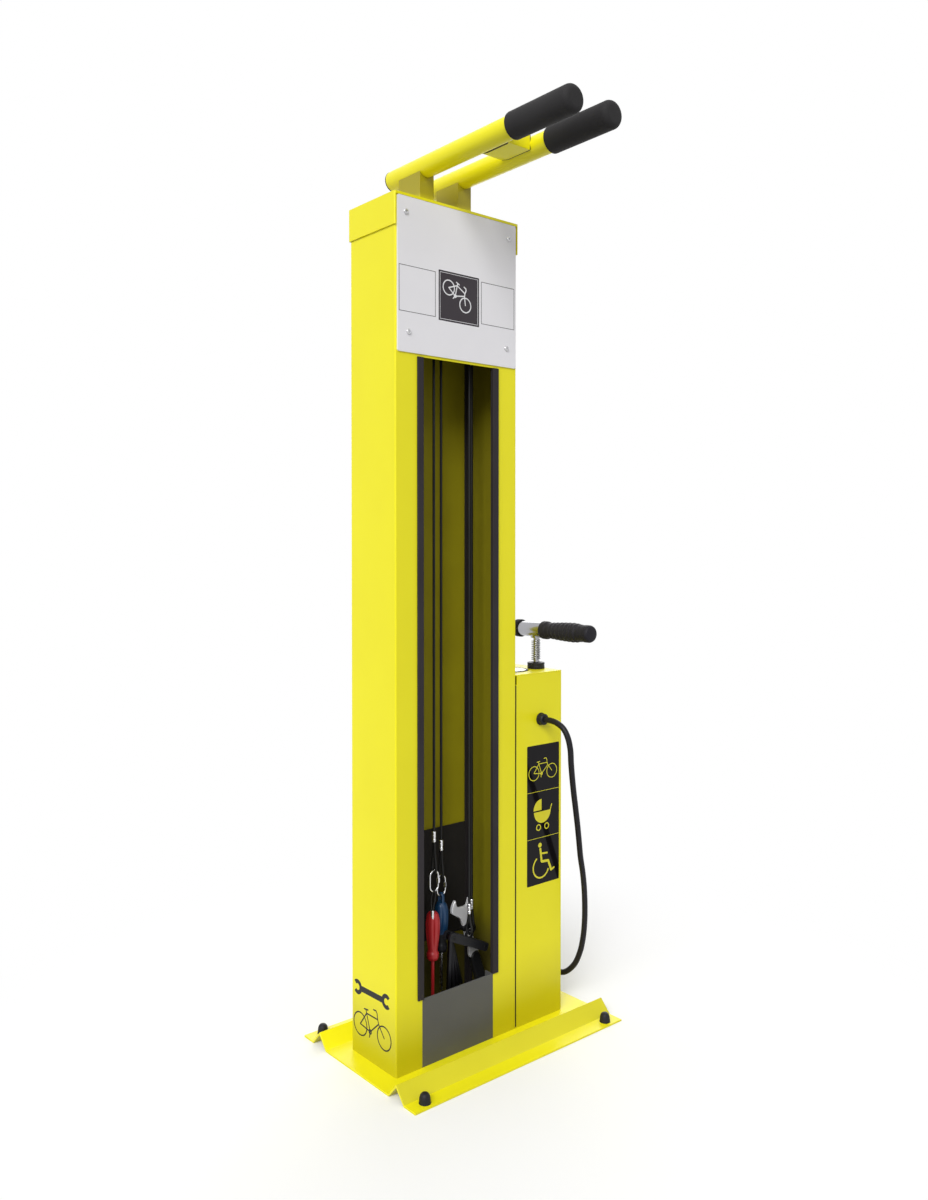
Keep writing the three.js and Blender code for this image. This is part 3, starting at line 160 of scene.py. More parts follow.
# %% Light the studio
def looking_rays(tree):
    """1 for a ray of the camera, or its way on in a mirror or through glass."""
    rays = add_node(tree, "ShaderNodeLightPath").outputs
    seen = maths(tree, "MAXIMUM", rays["Is Camera Ray"], rays["Is Glossy Ray"])
    return maths(tree, "MAXIMUM", seen, rays["Is Transmission Ray"])


world = bpy.data.worlds.new("studio")
scene.world = world
world.use_nodes = True
sky = world.node_tree
sky.nodes.clear()
shed_light = add_node(sky, "ShaderNodeBackground", {"Color": white, "Strength": 0.45})
seen_white = add_node(sky, "ShaderNodeBackground", {"Color": white, "Strength": 1.0})
daylight = add_node(sky, "ShaderNodeMixShader", {
    "Fac": looking_rays(sky), 1: shed_light.outputs[0], 2: seen_white.outputs[0],
})
add_node(sky, "ShaderNodeOutputWorld", {"Surface": daylight.outputs[0]})

for name, towards, energy, spread in (
    ("side_light", (0.80, 0.22, -0.56), 0.86, 40),
    ("front_light", (0.62, 0.52, -0.58), 1.88, 30),
    ("rear_light", (-0.75, -0.55, -0.35), 1.1, 60),
    ("top_light", (0.1, 0.1, -1), 0.12, 60),
):
    light = bpy.data.lights.new(name, "SUN")
    light.energy = energy
    light.angle = math.radians(spread)
    placed(name, light).rotation_euler = Vector(towards).to_track_quat("-Z", "Y").to_euler()
print("Lamps:", [light.name for light in bpy.data.lights])

# %% [markdown]
# The floor is white and plain. Near the object it is real, so it catches the soft
# shadow, and further out it fades into the white of the background without a horizon.
# The light that it throws back on the object is that of a grey floor, since a white one
# would light the inside of the column from below.

# %% Lay the floor
def new_material(name):
    material = bpy.data.materials.new(name)
    material.use_nodes = True
    return material, material.node_tree, material.node_tree.nodes["Principled BSDF"]


def mesh_piece(name, points, faces, edges=()):
    mesh = bpy.data.meshes.new(name)
    mesh.from_pydata([tuple(point) for point in points], edges, faces)
    return placed(name, mesh)


floor_finish, tree, shader = new_material("studio_floor")
bounced = add_node(tree, "ShaderNodeLightPath").outputs["Is Diffuse Ray"]
wire_up(tree, shader, {
    "Base Color": blended_colour(tree, bounced, (0.94, 0.94, 0.94, 1), (0.40, 0.40, 0.40, 1)),
    "Roughness": 0.9,
    "Specular IOR Level": 0.1,
})
distance = add_node(tree, "ShaderNodeVectorMath", {0: place_on_piece(tree)}, operation="LENGTH")
fade = smooth_step(tree, distance.outputs["Value"], 0.28, 0.90)
glow = add_node(tree, "ShaderNodeEmission", {"Color": white})
floor_mix = add_node(tree, "ShaderNodeMixShader", {
    "Fac": maths(tree, "MULTIPLY", fade, looking_rays(tree)),
    1: shader.outputs[0], 2: glow.outputs[0],
})
wire_up(tree, tree.nodes["Material Output"], {"Surface": floor_mix.outputs[0]})

floor = mesh_piece(
    "floor", [(-15, -15, 0), (15, -15, 0), (15, 15, 0), (-15, 15, 0)], [(0, 1, 2, 3)]
)
floor.data.materials.append(floor_finish)
print("Floor laid:", floor.dimensions[:2])

# %% [markdown]
# ## Finishes
#
# Every finish is mixed from nodes on the object's own coordinates, in metres, so the
# grain keeps its real size on every piece. One helper adds what all of them share: a
# broad drift between two close colours, a fine variation of the gloss, and a fine
# relief. A photograph wrapped round the piece could do the same, but it would stretch
# on the folds and blur when the camera comes close.

# %% Mix a finish
def noise_on(tree, scale, detail, stretch=(1, 1, 1)):
    spread = add_node(
        tree, "ShaderNodeMapping", {"Scale": stretch, "Vector": place_on_piece(tree)}
    )
    return add_node(tree, "ShaderNodeTexNoise", {
        "Scale": scale, "Detail": detail, "Vector": spread.outputs["Vector"],
    }).outputs["Fac"]


def between(tree, value, low, high):
    """Maps noise, which lies mostly between 0.3 and 0.7, to low to high."""
    return add_node(tree, "ShaderNodeMapRange", {
        "Value": value, "From Min": 0.3, "From Max": 0.7, "To Min": low, "To Max": high,
    }).outputs["Result"]


def mixed_finish(name, colour, drift, gloss, grain, depth, metal=0.0, stretch=(1, 1, 1),
                 mirror=0.5):
    """colour and its drift as linear RGB, gloss as two roughnesses, grain per metre.
    mirror is the strength of the reflection at a right angle, 0.5 for paint."""
    material, tree, shader = new_material(name)
    ramp = add_node(tree, "ShaderNodeValToRGB", {"Fac": noise_on(tree, 9, 4)})
    for stop, position, tint in zip(ramp.color_ramp.elements, (0.35, 0.65), (colour, drift)):
        stop.position = position
        stop.color = (*tint, 1)
    fine = noise_on(tree, grain, 3, stretch)
    relief = add_node(
        tree, "ShaderNodeBump", {"Strength": 0.35, "Distance": depth, "Height": fine}
    )
    wire_up(tree, shader, {
        "Base Color": ramp.outputs["Color"],
        "Roughness": between(tree, fine, *gloss),
        "Normal": relief.outputs["Normal"],
        "Metallic": metal,
        "Specular IOR Level": mirror,
    })
    return material


# %% [markdown]
# The station's yellow is a powder coat: plastic dust melted onto the steel. It is even
# and half glossy, with the slight orange peel that such a coat dries to, about one wave
# in a millimetre and a half. The inside of the column has a darker coat, darkest on the
# right wall and towards the bottom, which is painted shade. The walls darken near the foot
# as painted shade too. The posts under the arms and the base's front slope get darker
# mixes of their own, painted shade under the tubes and on the slope.

# %% Powder coats
def turning_to(material, colour, start, end):
    """Blends the base colour into another one from one height to another, in metres."""
    tree = material.node_tree
    shader = tree.nodes["Principled BSDF"]
    clean = shader.inputs["Base Color"].links[0].from_socket
    height = add_node(tree, "ShaderNodeSeparateXYZ", {0: place_on_piece(tree)}).outputs["Z"]
    share = smooth_step(tree, height, start, end)
    wire_up(tree, shader, {
        "Base Color": blended_colour(tree, share, clean, (*colour, 1)),
    })
    return material


coat_grain = {"grain": 650, "depth": 0.00012}
outer_coat = {"gloss": (0.3, 0.42), "mirror": 0.4, **coat_grain}
inside_gloss = {"gloss": (0.45, 0.6), **coat_grain}
yellow = ((0.87, 0.80, 0.008), (0.85, 0.775, 0.007))
# Deep olive for the painted shade low in the column.
painted_deep_shade = (0.085, 0.072, 0.010)

yellow_coat = mixed_finish("yellow_powder_coat", *yellow, **outer_coat)
# The walls' coat darkens from 15 cm down to the foot: painted shade.
wall_coat = turning_to(
    mixed_finish("yellow_coat_with_painted_foot_shade", *yellow, **outer_coat), (0.46, 0.41, 0.006), 0.15, -0.02
)
# The posts' coat darkens upwards towards the tubes: painted shade under the arms.
post_coat = turning_to(
    mixed_finish("yellow_coat_with_painted_shade_under_arms", *yellow, **outer_coat), (0.34, 0.29, 0.008), 1.352, 1.378
)
# A deeper yellow for the base's front slope: painted shade.
slope_coat = mixed_finish(
    "yellow_coat_in_painted_slope_shade", (0.66, 0.60, 0.010), (0.63, 0.57, 0.009), **outer_coat
)
graphite_coat = mixed_finish(
    "graphite_powder_coat", (0.085, 0.085, 0.083), (0.07, 0.07, 0.068), (0.5, 0.68), 1400, 0.0002
)
# The inside coats are a darker yellow, darkest on the right wall, and darken further below 20 cm:
# painted shade.
inside_coat = turning_to(mixed_finish(
    "inside_coat_in_painted_shade", (0.40, 0.35, 0.006), (0.36, 0.31, 0.005), **inside_gloss
), painted_deep_shade, 0.20, 0.10)
side_coat = turning_to(mixed_finish(
    "right_wall_coat_in_painted_deep_shade", (0.24, 0.21, 0.004), (0.22, 0.19, 0.004), **inside_gloss
), painted_deep_shade, 0.20, 0.10)
print("Powder coats:", yellow_coat.name, inside_coat.name, graphite_coat.name)

# %% [markdown]
# Rubber and moulded plastic are near black and matt. Their grain is finer and deeper
# than the paint's, and dust lightens them here and there.

# %% Rubbers and plastics
strip_rubber, sleeve_rubber, mat_rubber, hose_rubber, cable_jacket, moulded_black = (
    mixed_finish(*mix, mirror=0.2) for mix in (
        ("edge_strip_rubber", (0.023, 0.019, 0.022), (0.030, 0.026, 0.029),
         (0.55, 0.75), 900, 0.00015),
        ("arm_sleeve_rubber", (0.020, 0.019, 0.020), (0.027, 0.026, 0.027),
         (0.62, 0.8), 1300, 0.0003),
        ("tool_mat_rubber", (0.020, 0.018, 0.018), (0.027, 0.025, 0.024),
         (0.6, 0.8), 1000, 0.0004),
        ("moulded_hose_rubber", (0.009, 0.008, 0.012), (0.012, 0.011, 0.015),
         (0.35, 0.5), 800, 0.00012),
        ("plastic_cable_coat", (0.012, 0.012, 0.012), (0.018, 0.018, 0.018),
         (0.3, 0.45), 1500, 0.0001),
        ("moulded_black_plastic", (0.011, 0.011, 0.013), (0.015, 0.015, 0.018),
         (0.38, 0.55), 1600, 0.00012),
    )
)
print("Rubbers:", strip_rubber.name, sleeve_rubber.name, mat_rubber.name, hose_rubber.name)

# %% [markdown]
# Bare metal shows its making: drawn and turned parts have fine lines in one direction.
# The same helper draws them, with the grain stretched along the part's axis.

# %% Bare metals
bright_aluminium = mixed_finish(
    "bright_aluminium", (0.78, 0.78, 0.80), (0.70, 0.70, 0.72), (0.22, 0.36), 900, 0.00005,
    metal=1.0, stretch=(1, 1, 0.1),
)
hard_chrome = mixed_finish(
    "hard_chrome", (0.42, 0.42, 0.44), (0.36, 0.36, 0.38), (0.12, 0.22), 1200, 0.00003,
    metal=1.0, stretch=(1, 1, 0.08),
)
drawn_steel = mixed_finish(
    "drawn_steel_wire", (0.46, 0.46, 0.47), (0.36, 0.36, 0.37), (0.25, 0.4), 1200, 0.00005,
    metal=1.0,
)
print("Metals:", bright_aluminium.name, hard_chrome.name, drawn_steel.name)

# %% [markdown]
# ## Cords
#
# The hose leaves the gland square to the box, droops under its own weight, turns under
# near the base and rises behind the box's edge to the parked pump head. A smooth line
# through the route's points is the hose's middle, and a tube is swept along it. A
# Blender curve with a round bevel could do this too, but a mesh made here has its ends
# closed and its faces in even rings, whatever the bend.

# %% Draw a smooth line
def curve_through(points, steps):
    """Places on a smooth line through points, with centripetal spacing."""
    points = [Vector(point) for point in points]
    line = [2 * points[0] - points[1], *points, 2 * points[-1] - points[-2]]

    def blend(a, b, start, end, now):
        return (a * (end - now) + b * (now - start)) / (end - start)

    places = []
    for p in zip(line, line[1:], line[2:], line[3:]):
        t = [0.0]
        for a, b in zip(p, p[1:]):
            t.append(t[-1] + (b - a).length ** 0.5)
        for step in range(steps):
            u = t[1] + (t[2] - t[1]) * step / steps
            first = [blend(p[k], p[k + 1], t[k], t[k + 1], u) for k in range(3)]
            second = [blend(first[k], first[k + 1], t[k], t[k + 2], u) for k in range(2)]
            places.append(blend(*second, t[1], t[2], u))
    return [*places, points[-1]]


# %% Sweep a tube
def band(low, high, count):
    """The faces between two rings of points, which start at low and at high."""
    return [
        (low + k, low + (k + 1) % count, high + (k + 1) % count, high + k) for k in range(count)
    ]


def shaded(obj, angle=38):
    """Smooth faces, with a crease where the surface turns by more than angle."""
    for polygon in obj.data.polygons:
        polygon.use_smooth = True
    obj.data.set_sharp_from_angle(angle=math.radians(angle))
    return obj


def tube(name, path, radius, sides=16):
    """A tube with closed ends along places in metres."""
    ahead = [
        (after - before).normalized()
        for before, after in zip([path[0], *path], [*path[1:], path[-1]])
    ]
    side = ahead[0].orthogonal().normalized()
    points = []
    for place, way in zip(path, ahead):
        side = (side - way * side.dot(way)).normalized()
        other = way.cross(side)
        for k in range(sides):
            turn = 2 * math.pi * k / sides
            points.append(place + (side * math.cos(turn) + other * math.sin(turn)) * radius)
    last = len(points) - sides
    faces = [face for ring in range(0, last, sides) for face in band(ring, ring + sides, sides)]
    faces += [tuple(reversed(range(sides))), tuple(range(last, len(points)))]
    return shaded(mesh_piece(name, points, faces))


# %% Dress and measure a piece
def fitted(obj, body, finish, *nodes, slot=None):
    """Gives a piece its finish and its body. It stands for its CAD nodes. slot is not used."""
    obj.data.materials.clear()
    obj.data.materials.append(finish)
    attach(obj, body)
    if nodes:
        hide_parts(*nodes)
    return obj


def length_of(path):
    return sum((b - a).length for a, b in zip(path, path[1:]))


def millimetres(sides):
    return [round(1000 * side, 1) for side in sides]


# %% Lay the hose
gland_at, head_at = (308, 0, 518), (379, 75, 374)
hose_fall = [
    (0, -12, 0), (0, -27, 0), (0, -42, -3), (1, -54, -10), (3, -62, -24), (6, -65, -44),
    (11, -62, -68), (19, -57, -94), (28, -52, -122), (37, -48, -152), (46, -44, -183),
    (54, -40, -212), (62, -36, -242), (71, -33, -272), (79, -29, -301), (84, -26, -332),
    (88, -22, -362),
]
hose_rise = [
    (19, -92, -249), (19, -84, -280), (17, -70, -308), (12, -48, -326), (6, -23, -321),
    (2, -6, -296), (0, 0, -262), (0, 0, -214), (0, 0, -164), (0, 0, -114), (0, 0, -64),
    (0, 0, -38), (0, 0, -12),
]
hose_route = [at(*gland_at) + Vector(point) / 1000 for point in hose_fall]
hose_route += [at(*head_at) + Vector(point) / 1000 for point in hose_rise]
hose_path = curve_through(hose_route, 10)
hose = fitted(tube("hose", hose_path, 0.005, 20), "station", hose_rubber, "pump_hose",
              slot="hose_rubber")
hose_length = length_of(hose_path)
tuple(hose_path[0])
[tuple(point) for point in hose_path]
print("Hose length, m:", round(hose_length, 3))

# %% [markdown]
# ## Makers
#
# Most pieces of the station come from three workshops: the lathe, the sheet folder and
# the die cutter. Each gets one helper that works in millimetres and puts the result in
# its place. A profile turned about an axis gives every round part. Its corners are
# eased first, because no real turned or moulded edge is perfectly sharp, and the small
# round catches the light.

# %% Ease the corners of a profile
origin = Matrix.Scale(0.001, 4)
column_frame = Matrix.Translation(column_foot) @ origin


def eased(profile, radius, steps=3):
    """The profile with its corners rounded, as far as its sides are long enough."""
    made = [profile[0]]
    for before, corner, after in zip(profile, profile[1:], profile[2:]):
        c = Vector(corner)
        back, ahead = Vector(before) - c, Vector(after) - c
        reach = min(radius, back.length * 0.45, ahead.length * 0.45)
        if reach < 1e-4 or back.angle(ahead, math.pi) > math.radians(165):
            made.append(corner)
            continue
        start, end = c + back.normalized() * reach, c + ahead.normalized() * reach
        for step in range(steps + 1):
            t = step / steps
            made.append(tuple(start * (1 - t) ** 2 + c * 2 * t * (1 - t) + end * t * t))
    return [*made, profile[-1]]


# %% Turn round parts
def outward(obj, merged=True):
    """Double points are merged, and then all faces turned outwards."""
    made = bmesh.new()
    made.from_mesh(obj.data)
    if merged:
        bmesh.ops.remove_doubles(made, verts=made.verts, dist=1e-7)
    bmesh.ops.recalc_face_normals(made, faces=made.faces)
    made.to_mesh(obj.data)
    made.free()
    return obj


def turned(name, profile, place=(0, 0, 0), axis="Z", sides=48, ease=None, ring=False,
           wave=None, where=column_frame):
    """Turns (radius, height) places in mm about an axis through place. With ease given,
    the corners are rounded by it, and the ends closed to the axis. A ring's profile
    closes on itself instead. wave(turn, height) scales the radius, for flutes."""
    if ease is not None:
        middle = eased(profile, ease)
        profile = middle if ring else [(0, profile[0][1]), *middle, (0, profile[-1][1])]
    rings, points, faces = [], [], []
    for radius, height in profile:
        pole = radius < 1e-4
        rings.append((len(points), pole))
        for k in range(1 if pole else sides):
            turn = 2 * math.pi * k / sides
            r = radius * (wave(turn, height) if wave else 1)
            a, b = r * math.cos(turn), r * math.sin(turn)
            spot = {"X": (height, a, b), "Y": (b, height, a), "Z": (a, b, height)}[axis]
            points.append(Vector(spot) + Vector(place))
    following = rings[1:] + (rings[:1] if ring else [])
    for (low, low_pole), (high, high_pole) in zip(rings, following):
        if low_pole and not high_pole:
            faces += [(low, high + (k + 1) % sides, high + k) for k in range(sides)]
        elif high_pole and not low_pole:
            faces += [(low + k, low + (k + 1) % sides, high) for k in range(sides)]
        elif not low_pole:
            faces += band(low, high, sides)
    obj = mesh_piece(name, points, faces)
    obj.data.transform(where)
    return shaded(outward(obj))


# %% [markdown]
# Flat parts are cut from an outline and given a thickness. Their edges, and the folds of
# the sheet metal, are rounded by a Bevel modifier, and the shading is weighted so that
# wide faces stay flat. For the folded sheets the CAD model's own shape is copied and
# merged first, since its folds and holes are already right.

# %% Cut and fold flat parts
def applied(obj):
    """The object's mesh with its modifiers worked in."""
    graph = bpy.context.evaluated_depsgraph_get()
    mesh = bpy.data.meshes.new_from_object(obj.evaluated_get(graph))
    obj.modifiers.clear()
    obj.data = mesh
    return obj


def soft_edges(obj, width, segments):
    bevel = obj.modifiers.new("soft_edges", "BEVEL")
    bevel.width = width / 1000
    bevel.segments = segments
    bevel.limit_method = "ANGLE"
    bevel.angle_limit = math.radians(30)
    shaded(obj, 180)
    obj.modifiers.new("flat_faces", "WEIGHTED_NORMAL").keep_sharp = True
    return applied(obj)


def slab(start, count):
    """The faces of an outline's two sides and its edge, from the points after start."""
    return [
        tuple(range(start, start + count)),
        tuple(range(start + 2 * count - 1, start + count - 1, -1)),
        *band(start, start + count, count),
    ]


def cut_out(name, outline, low, high, soft, plane="xz", segments=2, where=column_frame):
    """A flat outline in mm with a thickness from low to high, square to its plane."""
    spot = {
        "xy": lambda a, b, c: (a, b, c),
        "xz": lambda a, b, c: (a, c, b),
        "yz": lambda a, b, c: (c, a, b),
    }[plane]
    points = [spot(*corner, level) for level in (low, high) for corner in outline]
    obj = mesh_piece(name, points, slab(0, len(outline)))
    obj.data.transform(where)
    return soft_edges(outward(obj), soft, segments)


# %% Copy shapes from the CAD model, and join pieces
def copied(node, name, soft, body, finish, slot, segments=2):
    """The shape of a CAD node, merged, with its flat faces whole and its edges soft. It
    stands for the node."""
    made = bmesh.new()
    made.from_mesh(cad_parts[node].data)
    bmesh.ops.remove_doubles(made, verts=made.verts, dist=2e-6)
    bmesh.ops.dissolve_limit(
        made, angle_limit=math.radians(0.5), verts=made.verts, edges=made.edges
    )
    mesh = bpy.data.meshes.new(name)
    made.to_mesh(mesh)
    made.free()
    obj = soft_edges(placed(name, mesh), soft, segments)
    return fitted(obj, body, finish, node, slot=slot)


def second_finish(obj, finish, picked):
    """Gives another finish to the faces that picked(face) is true for."""
    obj.data.materials.append(finish)
    for face in obj.data.polygons:
        if picked(face):
            face.material_index = len(obj.data.materials) - 1


def joined(name, *parts):
    with bpy.context.temp_override(
        active_object=parts[0], object=parts[0], selected_editable_objects=list(parts)
    ):
        bpy.ops.object.join()
    parts[0].name = name
    return parts[0]


# %% Draw arcs and rounded boxes
def on_circle(centre, radius, degrees):
    turn = math.radians(degrees)
    return (centre[0] + radius * math.cos(turn), centre[1] + radius * math.sin(turn))


def arc(centre, radius, start, end, steps):
    """Places on a circle, from one angle in degrees to another."""
    return [
        on_circle(centre, radius, start + (end - start) * step / steps)
        for step in range(steps + 1)
    ]


def box_outline(left, low, right, high, corner, steps=4):
    """A rectangle with rounded corners, from its edges in mm."""
    places = []
    for x, y, start in (
        (right - corner, low + corner, -90), (right - corner, high - corner, 0),
        (left + corner, high - corner, 90), (left + corner, low + corner, 180),
    ):
        places += arc((x, y), corner, start, start + 90, steps)
    return places


# %% [markdown]
# ## Folded steel
#
# The base is one sheet with a sharp ridge and a foot flange at front and rear. The
# column is a folded shell with a tall window, closed by a cap. Laser-cut edges are
# nearly sharp, and the powder coat rounds them by about half a millimetre. The same
# coat covers the posts and the plate between the arms, and the cable shelf inside.

# %% Make the folded pieces
sheets = {}
for node, name, soft, coat in (
    ("base_plate", "base", 0.7, yellow_coat),
    ("column_shell", "column", 0.6, wall_coat),
    ("top_cap", "column_cap", 0.6, yellow_coat),
    ("cable_shelf", "shelf_for_cables", 0.5, yellow_coat),
    ("arm_post_left", "post_left", 0.8, post_coat),
    ("arm_post_right", "post_right", 0.8, post_coat),
    ("arm_bridge", "bridge_plate", 0.8, yellow_coat),
    ("pump_box", "box_shell", 0.6, wall_coat),
    ("pump_box_lid", "box_lid", 0.6, yellow_coat),
):
    sheets[node] = copied(node, name, soft, "station", coat, "yellow_paint")
    print(f"{name}: {len(sheets[node].data.polygons)} faces")
copied("sill_cover", "foot_cover", 0.5, "station", graphite_coat, "graphite_paint")

# %% [markdown]
# Two sheets carry more than one coat: the base's front slope has its deeper yellow, and
# the column's inside its darker coat, darkest on the right wall, both as painted shade.
# A face's own direction and place tell which coat it gets, so no mask has to be painted by hand.

# %% Coat the slope and the column's inside
inner_low, inner_high = at(1.5, 1.5, 0), at(248.5, 118.5, 0)


def on_the_front_slope(face):
    return face.normal.y < -0.3 and face.normal.z > 0.3 and face.center.y < 0


def inside(face):
    return all(inner_low[k] < face.center[k] < inner_high[k] for k in (0, 1))


def inside_at_right(face):
    return inside(face) and face.normal.x < -0.9


second_finish(sheets["base_plate"], slope_coat, on_the_front_slope)
second_finish(sheets["column_shell"], inside_coat, inside)
second_finish(sheets["column_shell"], side_coat, inside_at_right)
print("Column coats:", [coat.name for coat in sheets["column_shell"].data.materials])

# %% [markdown]
# ## Rubber in the window
#
# Two strips guard the window's cut edges, the mat keeps the hanging tools from marking
# the paint, and an angle strip closes each rear corner.

# %% Fit the rubber strips and the mat
for side in ("left", "right"):
    for node, name in (("edge_trim", "window_strip"), ("corner_seal", "corner_strip")):
        copied(f"{node}_{side}", f"{name}_{side}", 0.4, "station", strip_rubber, "edge_rubber")
copied("back_mat", "tool_mat", 0.8, "station", mat_rubber, "mat_rubber", 3)
mat_low, mat_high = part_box("back_mat")
print("Mat, mm:", millimetres(mat_high - mat_low))

# %% [markdown]
# ## Hanging arms
#
# Each arm is a steel tube, yellow like the column. A soft sleeve with a rounded nose
# covers its front end, so the bicycle's frame isn't scratched, and a plastic plug
# closes the rear end.

# %% Make the arms
arm_middles = {"left": 86, "right": 164}
arm_height = 1415.5
sleeve_tip, sleeve_end = -291.3, -170
sleeve_profile = [
    (0, sleeve_tip), *arc((11, sleeve_tip + 9), 9, -90, 0, 9), (20, -200),
    *eased([(20, -172), (20, sleeve_end), (17.15, sleeve_end), (17.15, -287.3)], 1.4),
    (0, -287.3),
]
plug_profile = [(13.4, 104), (13.85, 105), (13.85, 120), (16.85, 120), (16.85, 122), (15.2, 122.5)]
arm_profile = [(14.25, -100), (14.25, -287), (16.85, -287), (16.85, 120), (14.25, 120),
               (14.25, -99.9)]
for side, across in arm_middles.items():
    arm_line = (across, 0, arm_height)
    arm = turned(f"arm_{side}", arm_profile, arm_line, "Y", 64, ease=0.4, ring=True)
    fitted(arm, "station", yellow_coat, f"arm_tube_{side}", slot="yellow_paint")
    sleeve = turned(f"sleeve_{side}", sleeve_profile, arm_line, "Y", 64)
    fitted(sleeve, "station", sleeve_rubber, f"arm_sleeve_{side}", slot="sleeve_rubber")
    plug = turned(f"end_plug_{side}", plug_profile, arm_line, "Y", 64, ease=0.5)
    fitted(plug, "station", moulded_black, f"arm_plug_{side}", slot="tube_plug")
print("Sleeve length, mm:", round(sleeve_end - sleeve_tip, 1))

# %% [markdown]
# ## Fixings that repeat
#
# Four floor anchors and four sign screws sit in pairs at regular distances. One of each
# is modelled, and Geometry Nodes set the copies out by their spacing, so that a wider
# base needs two new numbers and no new modelling. Every tree here ends in real geometry
# and a material, and its result is made a plain mesh.

# %% Build and run a tree of Geometry Nodes
def made_tree(name, inputs, build):
    """A tree with labelled inputs. build(tree, given) adds its nodes and returns their
    result. Returns the tree and each label's identifier."""
    tree = bpy.data.node_groups.new(name, "GeometryNodeTree")
    identifiers = {}
    for label, kind in {**inputs, "Finish": "Material"}.items():
        socket = tree.interface.new_socket(
            label, in_out="INPUT", socket_type=f"NodeSocket{kind}"
        )
        identifiers[label] = socket.identifier
    tree.interface.new_socket("Result", in_out="OUTPUT", socket_type="NodeSocketGeometry")
    given = add_node(tree, "NodeGroupInput").outputs
    real = add_node(tree, "GeometryNodeRealizeInstances", {"Geometry": build(tree, given)})
    finish = add_node(tree, "GeometryNodeSetMaterial", {
        "Geometry": real.outputs["Geometry"], "Material": given["Finish"],
    })
    add_node(tree, "NodeGroupOutput", {"Result": finish.outputs["Geometry"]})
    return tree, identifiers


def shaped_by(tree_and_labels, obj, values):
    """Runs a tree on an object, and leaves the result as its plain mesh."""
    tree, identifiers = tree_and_labels
    modifier = obj.modifiers.new(tree.name, "NODES")
    modifier.node_group = tree
    for label, value in values.items():
        modifier[identifiers[label]] = value
    return applied(obj)


# %% Set copies out in a grid
def grid_of_copies(tree, given):
    size = {}
    for way in ("across", "along"):
        gaps = maths(tree, "SUBTRACT", given[f"Number {way}"], 1)
        size[way] = maths(tree, "MULTIPLY", gaps, given[f"Spacing {way}"])
    grid = add_node(tree, "GeometryNodeMeshGrid", {
        "Size X": size["across"], "Size Y": size["along"],
        "Vertices X": given["Number across"], "Vertices Y": given["Number along"],
    })
    quarter = maths(tree, "MULTIPLY", given["Upright"], math.pi / 2)
    turn = add_node(tree, "ShaderNodeCombineXYZ", {"X": quarter})
    stand = add_node(tree, "GeometryNodeTransform", {
        "Geometry": grid.outputs["Mesh"], "Rotation": turn.outputs[0],
    })
    return add_node(tree, "GeometryNodeInstanceOnPoints", {
        "Points": stand.outputs["Geometry"], "Instance": given["One"],
    }).outputs["Instances"]


copies_in_a_grid = made_tree("copies_in_a_grid", {
    "One": "Geometry", "Spacing across": "Float", "Spacing along": "Float",
    "Number across": "Int", "Number along": "Int", "Upright": "Bool",
}, grid_of_copies)


def set_out(one, spacing, number, finish, centre, upright=False):
    """Copies of one, spaced in metres round centre, as one plain mesh."""
    shaped_by(copies_in_a_grid, one, {
        "Spacing across": spacing[0], "Spacing along": spacing[1],
        "Number across": number[0], "Number along": number[1],
        "Upright": upright, "Finish": finish,
    })
    one.data.transform(Matrix.Translation(centre))
    return one


# %% [markdown]
# A floor anchor ends in a nut under a domed plastic cap, on a thin washer. The cap is
# bullet-shaped with a small bead round its foot, as such caps are moulded.

# %% Place the floor anchors
one_anchor = turned("floor_anchor_caps", [
    (5, 0), (5, 3.05), (9.3, 3.05), (9.3, 3.9), (8.8, 4.1), (8.6, 8), (8.1, 12.2),
    (6.9, 15.6), (4.9, 17.8), (2.6, 18.6), (1.0, 18.8),
], sides=40, ease=0.5, where=origin)
anchors = set_out(one_anchor, (0.391, 0.277), (2, 2), moulded_black, (0, 0, 0))
fitted(anchors, "station", moulded_black,
       *[f"anchor_{end}_{side}" for end in ("front", "rear") for side in ("left", "right")],
       slot="anchor_cap")
print("Anchors:", len(anchors.data.polygons), "faces")

# %% [markdown]
# ## Information plate
#
# A white steel plate covers the column's head. Its panels here are bare frames round a
# dark picture field with a simple bicycle, tilted as it hangs on the arms. Each colour
# is a thin film of foil, cut out and laid on, which is how such plates are really made,
# and it stays sharp at any distance. A drawn picture could carry them too, but only as
# an image file.

# %% White plate and screws
white_plate = mixed_finish(
    "white_plate_enamel", (0.84, 0.83, 0.86), (0.81, 0.80, 0.83), (0.4, 0.5), 500, 0.00006,
    mirror=0.25,
)
screw_steel = mixed_finish(
    "turned_screw_steel", (0.60, 0.60, 0.61), (0.52, 0.52, 0.53), (0.25, 0.4), 1500, 0.00005,
    metal=1.0,
)
copied("sign_plate", "information_plate", 0.4, "station", white_plate, "sign_face")

screw_profile = [
    (2.5, -9), (2.5, 0), (4.5, 0), (4.5, 0.7), (3.9, 1.7), (2.4, 2.35), (1.5, 2.5), (1.5, 1.0),
]
for row, spacing, height in (("low", 0.202, 1141), ("high", 0.212, 1322)):
    screw = turned(f"sign_screws_{row}", screw_profile, sides=30, ease=0.25,
                   where=Matrix.Rotation(math.pi / 2, 4, "X") @ origin)
    set_out(screw, (spacing, 0), (2, 1), screw_steel, at(column_middle, -2, height))
    fitted(screw, "station", screw_steel,
           f"sign_screw_{row}_left", f"sign_screw_{row}_right", slot="screw_steel")
    print(f"Screws of the {row} row set at", spacing, "m")

# %% [markdown]
# The mat and the cable shelf inside are held by blind rivets through the rear wall. Their
# low domes are set before painting, so the yellow coat covers them.

